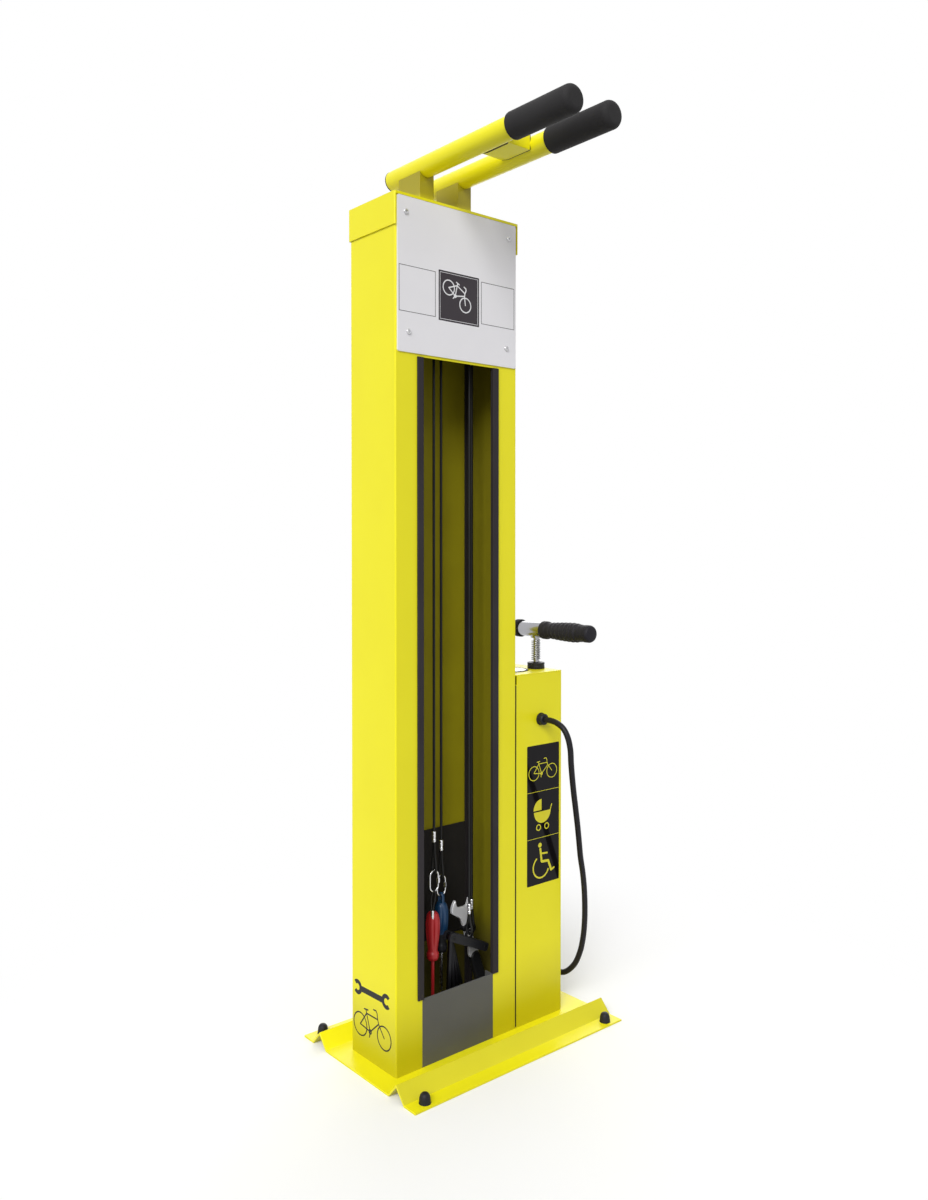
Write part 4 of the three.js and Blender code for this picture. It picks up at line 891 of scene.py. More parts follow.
# %% Set the rivets of the rear wall
rivet_profile = [(4.3, -0.1), (4.3, 0.3), (3.6, 1.3), (2.2, 2), (1.2, 2.2), (1.1, 1.5)]
for name, spacing, number, height in (("mat_rivets", (0.170, 0.150), (2, 2), 235),
                                      ("shelf_rivets", (0.130, 0), (2, 1), 1288)):
    rivet = turned(name, rivet_profile, sides=32, ease=0.2,
                   where=Matrix.Rotation(-math.pi / 2, 4, "X") @ origin)
    set_out(rivet, spacing, number, yellow_coat, at(column_middle, 120, height), upright=True)
    fitted(rivet, "station", yellow_coat)
    print(name, "faces:", len(rivet.data.polygons))

# %% [markdown]
# Foil prints are drawn with a pen that knows four strokes: a line with round ends, a
# ring or part of one, a disc and a plain area. Each stroke becomes a film a twentieth
# of a millimetre thick, and a stroke that crosses another lies a hair higher.

# %% Draw with four strokes
def stroke(a, b, width):
    way = math.degrees(math.atan2(b[1] - a[1], b[0] - a[0]))
    return [arc(b, width / 2, way - 90, way + 90, 6) + arc(a, width / 2, way + 90, way + 270, 6)]


def bow(centre, radius, width, start=0, end=360, steps=36):
    """A ring, or the part of it between two angles, as short straight pieces."""
    inner = arc(centre, radius - width / 2, start, end, steps)
    outer = arc(centre, radius + width / 2, start, end, steps)
    return [[inner[k], outer[k], outer[k + 1], inner[k + 1]] for k in range(steps)]


def disc(centre, radius, start=0, end=360, steps=32):
    places = arc(centre, radius, start, end, steps)
    return [places[:-1] if end - start == 360 else [centre, *places]]


def frame_line(left, low, right, high, width):
    corners = [(left, low), (right, low), (right, high), (left, high)]
    return sum((stroke(a, b, width) for a, b in zip(corners, corners[1:] + corners[:1])), [])


# %% Cut the film
film, layer_step = 0.05, 0.0004


def foil(name, areas, facing, level, finish, base=0.0):
    """Areas in mm on a face. facing 'front' draws (x, z) at depth level, and 'left'
    draws (y, z) read from the left side."""
    points, faces = [], []
    for index, area in enumerate(areas):
        faces += slab(len(points), len(area))
        for height in (base, base + film + layer_step * index):
            for a, b in area:
                points.append((a, level - height, b) if facing == "front"
                              else (level - height, a, b))
    obj = mesh_piece(name, points, faces)
    obj.data.transform(column_frame)
    print(f"Print {name}: {len(areas)} areas")
    return fitted(outward(obj, merged=False), "station", finish)


# %% Draw a bicycle
def bicycle(x, y, base, width, mirror=False):
    """A plain bicycle: wheels base apart, drawn with lines of one width."""
    way = -1 if mirror else 1

    def spot(a, b):
        return (x + way * a * base, y + b * base)

    rear, front, crank = spot(0, 0), spot(1, 0), spot(0.42, -0.05)
    seat, head, crown = spot(0.27, 0.35), spot(0.735, 0.36), spot(0.775, 0.26)
    made = bow(rear, 0.28 * base, width) + bow(front, 0.28 * base, width)
    for a, b in (
        (rear, crank), (rear, seat), (crank, seat), (seat, head), (crank, crown), (head, crown),
        (crown, front), (seat, spot(0.245, 0.44)), (spot(0.17, 0.43), spot(0.33, 0.45)),
        (head, spot(0.71, 0.50)), (spot(0.71, 0.50), spot(0.66, 0.55)),
        (spot(0.66, 0.55), spot(0.56, 0.54)), (crank, spot(0.39, -0.19)),
    ):
        made += stroke(a, b, width)
    return made + bow(crank, 0.05 * base, width)


# %% Mix the foils
foil_grain = {"grain": 700, "depth": 0.00004}
foil_black = mixed_finish(
    "black_foil", (0.013, 0.013, 0.014), (0.018, 0.018, 0.019), (0.3, 0.42), mirror=0.2,
    **foil_grain
)
foil_dark = mixed_finish(
    "dark_picture_foil", (0.040, 0.033, 0.040), (0.052, 0.045, 0.052), (0.32, 0.45), mirror=0.2,
    **foil_grain
)
foil_white = mixed_finish(
    "white_foil", (0.80, 0.80, 0.82), (0.76, 0.76, 0.78), (0.3, 0.42), **foil_grain
)
foil_yellow = mixed_finish(
    "yellow_foil", (0.74, 0.68, 0.02), (0.70, 0.64, 0.018), (0.3, 0.42), **foil_grain
)
print("Foils:", foil_black.name, foil_dark.name, foil_white.name, foil_yellow.name)

# %% Prints of the information plate
def tilted(areas, pivot, degrees):
    """Turns drawn areas round one of their points."""
    c, s = math.cos(math.radians(degrees)), math.sin(math.radians(degrees))
    px, py = pivot
    return [[(px + c * (x - px) - s * (y - py), py + s * (x - px) + c * (y - py))
             for x, y in area] for area in areas]


plate_face, second_layer = -2, 0.055
side_frames = frame_line(6, 1171.5, 76, 1241, 0.9) + frame_line(171, 1174, 243, 1241, 0.9)
hung = tilted(bicycle(103, 1221, 41, 1.9), (103, 1221), -34)
for name, areas, colour, base in (
    ("plate_frames", side_frames, foil_dark, 0),
    ("plate_picture", [box_outline(82.5, 1167.5, 166, 1246, 1)], foil_dark, 0),
    ("plate_bicycle", hung, foil_white, second_layer),
    ("plate_bicycle_frame", frame_line(85.5, 1170.5, 163, 1243, 0.7), foil_white, second_layer),
):
    foil(name, areas, "front", plate_face, colour, base)

# %% [markdown]
# Near the foot of the column's left side a spanner and a bicycle say what the station is
# for, without a word. They are cut from black foil, as is the strip of three symbols on
# the pump box: who may use the air, cyclists, parents with pushchairs, and wheelchair
# users.

# %% Prints of the column's side
spanner_sign = [
    *stroke((94, 107.6), (36, 109.6), 9.5),
    *bow((103.5, 107.5), 8.7, 6.8, 42, 318, 20),
    *bow((25.5, 110), 8.7, 6.8, -138, 138, 20),
]
foil("side_spanner", spanner_sign, "left", 0, foil_black)
foil("side_bicycle", bicycle(96, 50.5, 65, 2.3, mirror=True), "left", 0, foil_black)

# %% Symbols of the pump box
glossy_foil = mixed_finish(
    "glossy_black_foil", (0.006, 0.005, 0.006), (0.008, 0.007, 0.008), (0.05, 0.1), 500, 0.00002,
    mirror=0.13,
)
foil("box_symbols_ground", [box_outline(276.3, 233, 353.5, 473.5, 2)], "front", 0, glossy_foil)
lines = stroke((277, 393.3), (352.8, 393.3), 0.8) + stroke((277, 313), (352.8, 313), 0.8)
pushchair = [
    *disc((312.7, 358), 20, 180, 360), *disc((310.7, 360.5), 19, 90, 180, 16),
    *stroke((331.7, 357), (335.2, 367), 2),
    *bow((303.7, 331), 4.8, 1.8), *bow((323.2, 331), 4.8, 1.8),
]
wheelchair = [
    *disc((307, 300), 4.2), *stroke((308, 293), (311, 272), 4.4),
    *stroke((309.5, 285), (324, 284), 3.2), *stroke((311.5, 271), (327, 270), 4.4),
    *stroke((327, 270), (334, 253), 4.4), *stroke((334, 252), (341, 255), 3.2),
    *bow((309.5, 262), 18.5, 2.8, 122, 342, 30),
]
foil("box_symbols", lines + bicycle(292.5, 425.5, 43, 1.3) + pushchair + wheelchair,
     "front", 0, foil_yellow, second_layer)

# %% [markdown]
# A thin black bead lies in the joint between the column and the pump box. Its black is
# painted shade, the shadow of the narrow gap there.

# %% Paint the shade in the joint beside the column
bead = cut_out("joint_shadow_bead", box_outline(249.7, 2, 251.1, 580.5, 0.6, 3), -0.25, 1.2, 0.2)
fitted(bead, "station", foil_black)
print("Joint bead, mm:", millimetres(bead.dimensions))

# %% [markdown]
# ## Pressure gauge
#
# The gauge lies in the lid, and its dial faces up. Behind the glass are a white dial
# with numbers from 0 to 10, forty fine marks between them, and a black needle. The
# marks follow a rule, so Geometry Nodes set them round the arc.

# %% Turn the gauge's case
gauge_at = (289.5, 58, 0)
dial_middle = at(289.5, 58, 593.04)
sweep, highest_number = 270, 10
dial_white = mixed_finish(
    "dial_enamel", (0.85, 0.85, 0.82), (0.82, 0.82, 0.79), (0.35, 0.5), 400, 0.00003
)
case = turned("gauge_housing", [
    (30, 568), (30, 597.7), (33, 598.1), (33, 598.6), (32, 599.2), (28.3, 599.2),
    (28.3, 597.2), (26, 597.2), (26, 592),
], gauge_at, sides=72, ease=0.3)
fitted(case, "station", moulded_black, "gauge_case", slot="black_plastic")
dial = turned("gauge_scale", [(25.7, 592), (25.7, 593)], gauge_at, sides=72, ease=0.1)
fitted(dial, "station", dial_white, "gauge_dial", slot="dial_face")
print("Gauge case and dial, mm:", millimetres(case.dimensions), millimetres(dial.dimensions))

# %% Set marks round the dial
def marks_on_an_arc(tree, given):
    line = add_node(tree, "GeometryNodeCurveArc", {
        "Resolution": given["Number"], "Radius": given["Radius"],
        "Start Angle": given["Start"], "Sweep Angle": given["Sweep"],
    })
    points = add_node(
        tree, "GeometryNodeCurveToPoints", {"Curve": line.outputs["Curve"]}, mode="EVALUATED"
    ).outputs
    return add_node(tree, "GeometryNodeInstanceOnPoints", {
        "Points": points["Points"], "Instance": given["One"], "Rotation": points["Rotation"],
    }).outputs["Instances"]


arc_tree = made_tree("marks_on_an_arc", {
    "One": "Geometry", "Radius": "Float", "Start": "Float", "Sweep": "Float", "Number": "Int",
}, marks_on_an_arc)
for name, number, radius, half, length in (("long_marks", 11, 22.5, 0.35, 4.0),
                                           ("short_marks", 51, 23.5, 0.15, 2.2)):
    ends = [(-half, -0.04), (half, -0.04), (half, 0.04), (-half, 0.04)]
    mark = mesh_piece(name, [(x, y, z) for z in (-length / 2, length / 2) for x, y in ends],
                      slab(0, 4))
    mark.data.transform(Matrix.Rotation(math.pi / 2, 4, "Y") @ origin)
    shaped_by(arc_tree, mark, {
        "Radius": radius / 1000, "Start": math.radians(sweep / 2), "Sweep": -math.radians(sweep),
        "Number": number, "Finish": foil_black,
    })
    mark.data.transform(Matrix.Translation(dial_middle) @ Matrix.Rotation(math.pi / 2, 4, "Z"))
    fitted(outward(mark), "station", foil_black)
    print(name, "faces:", len(mark.data.polygons))

# %% Number the dial
number_radius = 0.0163
for value in range(0, highest_number + 1, 2):
    words = bpy.data.curves.new(f"number_{value}", "FONT")
    words.body = str(value)
    words.size = 0.0050
    words.align_x, words.align_y = "CENTER", "CENTER"
    words.extrude = 0.00003
    text = placed(f"dial_number_{value}", words)
    mesh = bpy.data.meshes.new_from_object(
        text.evaluated_get(bpy.context.evaluated_depsgraph_get())
    )
    bpy.data.objects.remove(text)
    turn = math.radians(sweep * value / highest_number - sweep / 2)
    away = Vector((math.sin(turn), math.cos(turn), 0)) * number_radius
    mesh.transform(Matrix.Translation(dial_middle + away))
    fitted(placed(f"dial_number_{value}", mesh), "station", foil_black)
print("Numbers up to", value, "drawn")

# %% Needle and glass
needle_turn = Matrix.Translation(at(*gauge_at)) @ Matrix.Rotation(
    math.radians(sweep / 2), 4, "Z")
blade = cut_out("gauge_pointer", [
    (-0.35, 21), (0.35, 21), (0.8, -2), (0.8, -7), (-0.8, -7), (-0.8, -2),
], 594.3, 595.1, 0.1, "xy", where=needle_turn @ origin)
hub = turned("pointer_hub", [(2.5, 593.3), (2.5, 595.7)], gauge_at, sides=32, ease=0.4)
fitted(joined("gauge_pointer", blade, hub), "needle", foil_black, "gauge_needle",
       slot="needle_paint")

clear_glass, tree, shader = new_material("gauge_window_glass")
wire_up(tree, shader, {
    "Base Color": (0.97, 0.99, 0.98, 1),
    "Transmission Weight": 1.0,
    "IOR": 1.46,
    "Roughness": between(tree, noise_on(tree, 90, 3), 0.01, 0.05),
})
glass = turned("gauge_window", [(28, 597.5), (28, 599)], gauge_at, sides=72, ease=0.4)
fitted(glass, "station", clear_glass, "gauge_glass", slot="gauge_glass")
print("Glass, mm:", millimetres(glass.dimensions))

# %% [markdown]
# ## Pump
#
# The rod is hard chromed and polished, since it slides through its seal thousands of
# times. Above its black collar a wound spring softens the end of the stroke. A spring
# is a wire on a rising circle, so Geometry Nodes sweep it: they take any path and any
# wire thickness, and the snap rings and cable eyes further down use the same tree.

# %% Sweep wire along a path
def wire_along(tree, given):
    line = add_node(tree, "GeometryNodeMeshToCurve", {"Mesh": given["Path"]})
    section = add_node(tree, "GeometryNodeCurvePrimitiveCircle", {
        "Resolution": given["Sides"], "Radius": given["Wire radius"],
    })
    return add_node(tree, "GeometryNodeCurveToMesh", {
        "Curve": line.outputs["Curve"], "Profile Curve": section.outputs["Curve"],
        "Fill Caps": True,
    }).outputs["Mesh"]


wire_tree = made_tree(
    "wire_along_a_path", {"Path": "Geometry", "Wire radius": "Float", "Sides": "Int"}, wire_along
)


def wire(name, path, radius, finish, closed=False, sides=16):
    """Wire of a radius in metres along places in metres."""
    count = len(path)
    edges = [(k, (k + 1) % count) for k in range(count if closed else count - 1)]
    obj = mesh_piece(name, path, [], edges)
    shaped_by(wire_tree, obj, {"Wire radius": radius, "Sides": sides, "Finish": finish})
    return shaded(outward(obj), 50)


# %% Wind the buffer spring
pump_at = (341.7, 45.8, 0)


def spring_path(foot, head, curls, wire_width, radius):
    """A coil whose first and last turns lie flat."""
    low, high = foot + 2 * wire_width, head - 2 * wire_width
    places = [(0, foot), (0, foot + wire_width)]
    for step in range(1, curls * 32):
        places.append((step / 32, low + (high - low) * step / (32 * curls)))
    places += [(curls, head - wire_width), (curls, head)]
    return [at(*on_circle(pump_at, radius, 360 * turn), height) for turn, height in places]


spring = wire("handle_spring", spring_path(609.3, 652.2, 11, 1.9, 7.35), 0.00095, drawn_steel)
fitted(spring, "station", drawn_steel, "buffer_spring", slot="spring_steel")
print("Spring faces:", len(spring.data.polygons))

# %% Barrel, piston, rod and collar
barrel = turned("barrel", [(15, 0), (15, 596), (13.5, 596), (13.5, 6)], pump_at, sides=56,
                ease=0.4)
fitted(barrel, "station", bright_aluminium, "pump_barrel", slot="barrel_aluminium")
piston = turned("piston", [
    (13.2, 10), (13.2, 14), (12.4, 15), (12.4, 18), (13.2, 19), (13.2, 24), (5.3, 24), (5.3, 16.7),
], pump_at, sides=56, ease=0.4)
fitted(piston, "plunger", hose_rubber, "pump_piston", slot="seal_rubber")
rod = turned("rod", [(5, 17), (5, 663.5)], pump_at, sides=40, ease=0.4)
fitted(rod, "plunger", hard_chrome, "pump_rod", slot="rod_chrome")
collar = turned("seal_collar", [
    (5.4, 590), (5.4, 578), (13.2, 578), (13.2, 597.8), (15.25, 598), (15.25, 603.6),
    (14.8, 604.2), (14.8, 604.9), (15.25, 605.5), (15.25, 609), (8.8, 609), (8.2, 608.3),
    (5.4, 608.3), (5.4, 590.1),
], pump_at, sides=56, ease=0.5, ring=True)
fitted(collar, "station", moulded_black, "rod_collar", slot="black_plastic")
print("Barrel and rod, mm:", millimetres(barrel.dimensions), millimetres(rod.dimensions))

# %% [markdown]
# The handle is a chromed cross tube with a soft grip on each end. The grips have a
# flange at the hand's inner side, a neck, a belly that fills the palm, and a rounded
# end. Shallow waves along the belly keep a wet hand from slipping.

# %% Make the handle bar
handle_line = (pump_at[0], 0, 667.25)
cross_tube = turned("cross_tube", [
    (8, -78.3), (8, 26.7), (13.25, 26.7), (13.25, 80.5), (8, 80.5), (8, 185.5),
], handle_line, "Y", 56, ease=0.8)
hub = turned("rod_hub", [
    (9.5, 660), (9.5, 652.5), (5.3, 652.5), (5.3, 663.8), (9.5, 663.8), (9.5, 660.1),
], pump_at, sides=48, ease=0.4, ring=True)
handle = fitted(joined("handle_tube", cross_tube, hub), "pump_handle", hard_chrome,
                "handle_bar", slot="rod_chrome")
print("Handle, mm:", millimetres(handle.dimensions))

# %% Mould the grips
def grip_profile(start, way):
    """Grip from its inner flange outwards, with seven shallow waves on the belly."""
    length, wall = 115, 4 / 115

    def out(share):
        return start + way * length * share

    belly = []
    for step in range(57):
        share = 0.22 + 0.58 * step / 56
        swell = math.sin(math.pi * min(1, (share - 0.16) / 0.5) / 2)
        fall = max(0.0, (share - 0.62) / 0.18)
        radius = 13.5 + 2.75 * swell - 2.05 * fall ** 2
        radius += 0.55 * math.cos(2 * math.pi * 7 * (share - 0.22) / 0.58)
        belly.append((radius, out(share)))
    shell = eased([(8.2, out(0.0026)), (15.7, out(0.0026)), (15.7, out(0.1)),
                   (13.5, out(0.14)), (13.5, out(0.2)), belly[0]], 1.6)
    end = eased([belly[-1], (14.0, out(0.84)), (14.75, out(0.87)), (14.75, out(0.955)),
                 (12.8, out(0.99)), (8.6, out(1.0))], 1.6)
    return [*shell, *belly[1:-1], *end, (0, out(1.0)), (0, out(1 - wall)),
            (8.2, out(1 - wall)), (8.2, out(0.5))]


grip_rubber = mixed_finish(
    "soft_grip_rubber", (0.011, 0.010, 0.014), (0.015, 0.014, 0.018), (0.5, 0.68), 1200, 0.00025,
    mirror=0.2,
)
for end, start, way in (("front", 26.7, -1), ("rear", 80.5, 1)):
    grip = turned(f"grip_at_{end}", grip_profile(start, way), handle_line, "Y", 64, ring=True)
    fitted(grip, "pump_handle", grip_rubber, f"grip_{end}", slot="grip_rubber")
    print(f"Grip at the {end}, mm:", millimetres(grip.dimensions))

# %% [markdown]
# The posts are welded to the cap all round. A weld bead is laid in small steps, so its
# crest rises and falls a little every two millimetres.

# %% Weld the posts
post_half, weld_foot, weld_step, crest = 14.3, 1350.2, 1.1, 0.3
for side, middle in arm_middles.items():
    corners = box_outline(middle - post_half, 31.7, middle + post_half, 88.3, 1.5, 3)
    seam = []
    for here, there in zip(corners, corners[1:] + corners[:1]):
        steps = max(1, round(math.dist(here, there) / weld_step))
        for k in range(steps):
            a, b = (here[i] + (there[i] - here[i]) * k / steps for i in (0, 1))
            seam.append(at(a, b, weld_foot + crest * (len(seam) % 2)))
    weld = wire(f"post_weld_{side}", seam, 0.0016, yellow_coat, closed=True, sides=12)
    fitted(weld, "station", yellow_coat)
print("Welds:", len(seam), "steps each")

# %% [markdown]
# A thin dark olive bead runs along both edges of the plate between the arms and follows
# the plate's bends. Its colour is painted shadow, the shade in the gaps against the tubes.

# %% Paint the shadow along the plate between the arms
olive_painted_gap_shadow = mixed_finish(
    "olive_painted_gap_shadow", (0.055, 0.048, 0.008), (0.065, 0.057, 0.010), (0.4, 0.55), **foil_grain
)
bead_route = [(-77.5, 1409.6), (-92, 1406.6), (-137, 1406.6), (-138.5, 1408.2), (-138.5, 1428)]
for side, x, sag in (("left", 103.5, 1.5), ("right", 147.8, 0)):
    corners = [at(x, y, z - sag) for y, z in bead_route]
    bead = wire(f"bridge_shadow_bead_{side}", corners, 0.0011, olive_painted_gap_shadow, sides=10)
    fitted(bead, "station", olive_painted_gap_shadow)
print("Beads laid")

# %% [markdown]
# ## Hose ends
#
# At the box the hose leaves a round gland with a fluted nut. At its other end it is
# pushed over the barb of the pump head, which parks in a spring clip on the box's right
# side. The head is a moulded body with a nozzle for the valve and a lever that locks it.

# %% Turn the gland
def fluted(low, high, power, groove):
    """A wave round the part between two heights. groove(turn) is its depth at the middle,
    and power says how fast it fades towards the ends."""
    def wave(turn, height):
        share = (height - low) / (high - low)
        swell = math.sin(math.pi * share) ** power if 0 < share < 1 else 0
        return 1 - swell * groove(turn)
    return wave


def nut_flutes(turn):
    return 0.06 * (0.5 - 0.5 * math.cos(10 * turn))


gland = turned("gland_nut", [
    (5.2, -11.7), (7.8, -11.7), (9.7, -9.6), (9.7, -3.2), (9.7, -2.5), (10.7, -2.5),
    (10.7, -0.3), (9.4, -0.3), (9.4, 4.5),
], gland_at, "Y", 60, ease=0.4, wave=fluted(-9.7, -3.1, 0.5, nut_flutes))
fitted(gland, "station", moulded_black, "hose_gland", slot="black_plastic")
print("Gland, mm:", millimetres(gland.dimensions))

# %% Make the pump head, lever and clip
head_x, head_y, barb_top = head_at
head_body = turned("head_body", [
    (6.5, 362.3), (6.5, 365), (5.9, 365.6), (6.5, 366.2), (6.5, 369), (5.9, 369.6), (6.5, 370.2),
    (6.5, barb_top), (8.8, barb_top), (11, 376.2), (11, 391), (10.6, 391.6), (10.6, 393.4),
    (11, 394), (11, 432),
], (head_x, head_y, 0), sides=56, ease=0.6)
nozzle = turned("head_nozzle", [
    (9, 0), (9, -20), (8.6, -20.8), (8.6, -22.2), (9, -23), (9, -31.6), (8.0, -33), (4, -33),
    (4, -19),
], (head_x, head_y, 417), "Y", 48, ease=0.6)
ear_outline = box_outline(head_y - 7, 431, head_y + 7, 446, 5)
ears = [
    cut_out(f"head_ear_{side}", ear_outline, low, low + 4, 0.5, "yz")
    for side, low in (("left", 368.2), ("right", 385.8))
]
pin = turned("head_pin", [(1.5, 368.6), (1.5, 389.4)], (0, head_y, 440), "X", 20, ease=0.3)
head = fitted(joined("valve_head", head_body, nozzle, *ears, pin), "station", moulded_black,
              "pump_head", slot="black_plastic")
copied("chuck_lever", "head_lever", 0.9, "lever", moulded_black, "black_plastic", 3)
clip_steel = mixed_finish(
    "clip_spring_steel", (0.50, 0.50, 0.51), (0.42, 0.42, 0.43), (0.28, 0.42), 1200, 0.00005,
    metal=1.0,
)
copied("head_clip", "parking_clip", 0.4, "station", clip_steel, "clip_steel")
print("Head, mm:", millimetres(head.dimensions))

# %% [markdown]
# ## Tool cables
#
# Four plastic-coated steel cables hang through holes in the shelf behind the plate. A
# crimped stop holds each one above, and below a bright ferrule closes it to an eye that
# carries the tool. The cable is straight, because a tool's weight keeps it so.

# %% Hang the cables
cable_radius = 2.25
cable_top, stop_low, stop_high = 1290.8, 1290.3, 1302.3
ferrule_profile = [
    (3.1, 0), (3.5, 1), (3.5, 5.5), (3.2, 6), (3.2, 7), (3.5, 7.5), (3.5, 12), (3.2, 12.5),
    (3.5, 13), (3.5, 16.5), (2.9, 17.5),
]
for number, x, y, eye_low, ferrule_low, half in (
    (1, 114, 50, 280, 331, 5), (2, 142, 66, 262.7, 308, 5),
    (3, 205.5, 62, 165, 196, 5), (4, 177, 35, 169.5, 202, 6.5),
):
    top, foot = at(x, y, cable_top), at(x, y, ferrule_low + 2)
    path = [top.lerp(foot, step / 40) for step in range(41)]
    cable = tube(f"cable_{number}", path, cable_radius / 1000, 16)
    crimp = turned(f"cable_ferrule_{number}", [(r, ferrule_low + z) for r, z in ferrule_profile],
                   (x, y, 0), sides=32, ease=0.4)
    stop = turned(f"cable_stop_{number}", [(4.5, stop_low), (4.5, stop_high)], (x, y, 0),
                  sides=32, ease=0.7)
    grip_top = ferrule_low + 4.75
    legs = (grip_top - eye_low) / 5
    leg = [(1, grip_top), (2.3, eye_low + half + 2.2 * legs), (half, eye_low + half + legs / 2)]
    route = [(-b, z) for b, z in leg] + arc((0, eye_low + half), half, 180, 360, 4) + leg[::-1]
    eye = wire(f"cable_eye_{number}", curve_through([at(x, y + b, z) for b, z in route], 6),
               cable_radius / 1000, cable_jacket)
    fitted(cable, "station", cable_jacket, f"tool_cable_{number}", slot="cable_jacket")
    fitted(eye, "station", cable_jacket)
    fitted(crimp, "station", bright_aluminium)
    fitted(stop, "station", bright_aluminium)
    tuple(path[0])
    length_of(path)
    [tuple(place) for place in path]
    print(f"Cable {number}: {length_of(path):.3f} m")

# %% [markdown]
# ## Snap rings and lanyard
#
# The screwdrivers hang on oval links of plated wire. A small six-sided sleeve is screwed
# over the gap in the link's side, so that a worn tool can be changed with a spanner. The
# red driver has a short cord of its own, crimped into its handle.

# %% Make the links
link_plating = mixed_finish(
    "plated_link_wire", (0.72, 0.72, 0.74), (0.64, 0.64, 0.66), (0.12, 0.24), 1300, 0.00003,
    metal=1.0,
)


def oval_link(name, x, y, top):
    """A closed link whose wire's top middle is at the height top, in mm."""
    bend = 8.5
    line = arc((x, top - bend), bend, 0, 180, 12) + arc((x, top - 3 * bend), bend, 180, 360, 12)
    ring = wire(name, [at(a, y, z) for a, z in line], 0.0015, link_plating, closed=True)
    sleeve = turned(f"{name}_sleeve", [
        (2.5, top - 22), (3.0, top - 21.3), (3.0, top - 13.7), (2.5, top - 13),
    ], (x + bend, y, 0), sides=6, ease=0.2)
    sleeve.data.materials.append(link_plating)
    return joined(name, ring, sleeve)


flat_at, cross_at = (114, 50, 284.05), (142, 66, 266.75)
flat_link = fitted(oval_link("driver_link", *flat_at), "flat_driver", link_plating,
                   "flat_driver_link", slot="link_steel")
print("Link, mm:", millimetres(flat_link.dimensions))

# %% Make the lanyard, and the second link
cord_side = [(-7.4, -6.3, -66), (-6.3, -6, -58), (-3, -5.6, -47.5), (-0.7, -4.4, -39),
             (0, -2.5, -33.2), (0, 0, -31.5)]
cord_other = [(0, 2.5, -33.2), (-0.7, 4.4, -39), (-3, 3.6, -47.5), (-6.3, -1, -58),
              (-7.4, -3.7, -66)]
cord_loop = wire("driver_cord", curve_through(
    [at(*flat_at) + Vector(p) / 1000 for p in cord_side + cord_other], 5,
), 0.0013, cable_jacket)
cord_crimp = turned("driver_crimp", [
    (2.9, -80), (2.9, -71.2), (2.6, -70.8), (2.6, -70.2), (2.9, -69.8), (2.9, -63.2), (2.3, -62.5),
], (flat_at[0] - 7.4, flat_at[1] - 5, flat_at[2]), sides=32, ease=0.3)
fitted(cord_loop, "flat_driver", cable_jacket)
fitted(cord_crimp, "flat_driver", bright_aluminium)
fitted(oval_link("second_driver_link", *cross_at), "cross_driver", link_plating,
       "cross_driver_link", slot="link_steel")
print("Lanyard, mm:", millimetres(cord_loop.dimensions))

# %% [markdown]
# ## Screwdrivers
#
# Both handles are moulded with a full belly, flutes for the fingers and a guard in front.
# The flutes are cut into the turned shape as a wave round it, strongest at the belly. The
# blue handle's lower part is black, painted shade where it hangs deep in the shadow. The
# red driver's shaft is coated in the same red down to the blade. The blade starts round
# and is forged flat and square, so its sections run from a circle to a thin rectangle.

# %% Mix the finishes of the screwdrivers
red_grip = mixed_finish(
    "red_moulded_grip", (0.52, 0.020, 0.026), (0.47, 0.017, 0.022), (0.3, 0.44), 900, 0.00012
)
blue_grip = mixed_finish(
    "blue_moulded_grip", (0.004, 0.045, 0.125), (0.0035, 0.040, 0.11), (0.3, 0.44), 900, 0.00012
)
driver_steel = mixed_finish(
    "driver_blade_steel", (0.66, 0.66, 0.67), (0.58, 0.58, 0.59), (0.2, 0.32), 1300, 0.00003,
    metal=1.0, stretch=(1, 1, 0.1),
)
print("Screwdrivers:", red_grip.name, blue_grip.name, driver_steel.name)

# %% Turn a screwdriver's handle
belly_radius = 11.8
belly_line = [
    (0.55, 0), (0.76, 0.04), (0.9, 0.1), (1, 0.2), (1, 0.36), (0.93, 0.5), (0.8, 0.66),
    (0.7, 0.78), (0.7, 0.82), (0.86, 0.86), (0.86, 0.95), (0.7, 1),
]


def finger_grooves(turn):
    return 0.16 * max(0.0, math.cos(6 * turn)) ** 2


def driver_handle(name, place, top, length):
    """A handle from its top down, with a socket for the shaft."""
    low = top - length
    line = [(belly_radius * wide, 0, top - length * down) for wide, down in belly_line]
    belly = [(p.x, p.z) for p in curve_through(line[:8], 5)]
    guard = eased([(x, z) for x, _, z in line[7:]], 1.2)
    profile = [(0, top + 0.6), (3.5, top + 0.5), *belly, *guard[1:], (3.05, low), (3.05, low + 12),
               (0, low + 12)]
    return turned(name, profile, place, sides=96,
                  wave=fluted(low + 20, top - 2, 0.6, finger_grooves))


# %% Mould the handles
red_at = (flat_at[0] - 2.4, flat_at[1] + 0.5, flat_at[2])
flat_handle = fitted(driver_handle("red_handle", red_at, -67.5, 78), "flat_driver", red_grip,
                     "flat_driver_handle", slot="red_handle")
cross_body = driver_handle("blue_handle", cross_at, -45.1, 82)
tab_line = [(-4.75, -47), *arc((0, -34.9), 4.9, 180, 0, 12), (4.75, -47)]
tab = wire("blue_tab", [at(cross_at[0], cross_at[1] + b, cross_at[2] + z) for b, z in tab_line],
           0.0015, blue_grip)
tab_middle = Matrix.Translation(at(*cross_at))
tab.data.transform(tab_middle @ Matrix.Diagonal((1.9, 1, 1, 1)) @ tab_middle.inverted())
cross_handle = fitted(joined("blue_handle", cross_body, tab), "cross_driver", blue_grip,
                      "cross_driver_handle", slot="blue_handle")
# The handle's lower part turns black: painted shade.
painted_shade_below = at(0, 0, cross_at[2] - 96).z
second_finish(cross_handle, moulded_black, lambda face: face.center.z < painted_shade_below)
print("Handles, mm:", millimetres(flat_handle.dimensions), millimetres(cross_handle.dimensions))

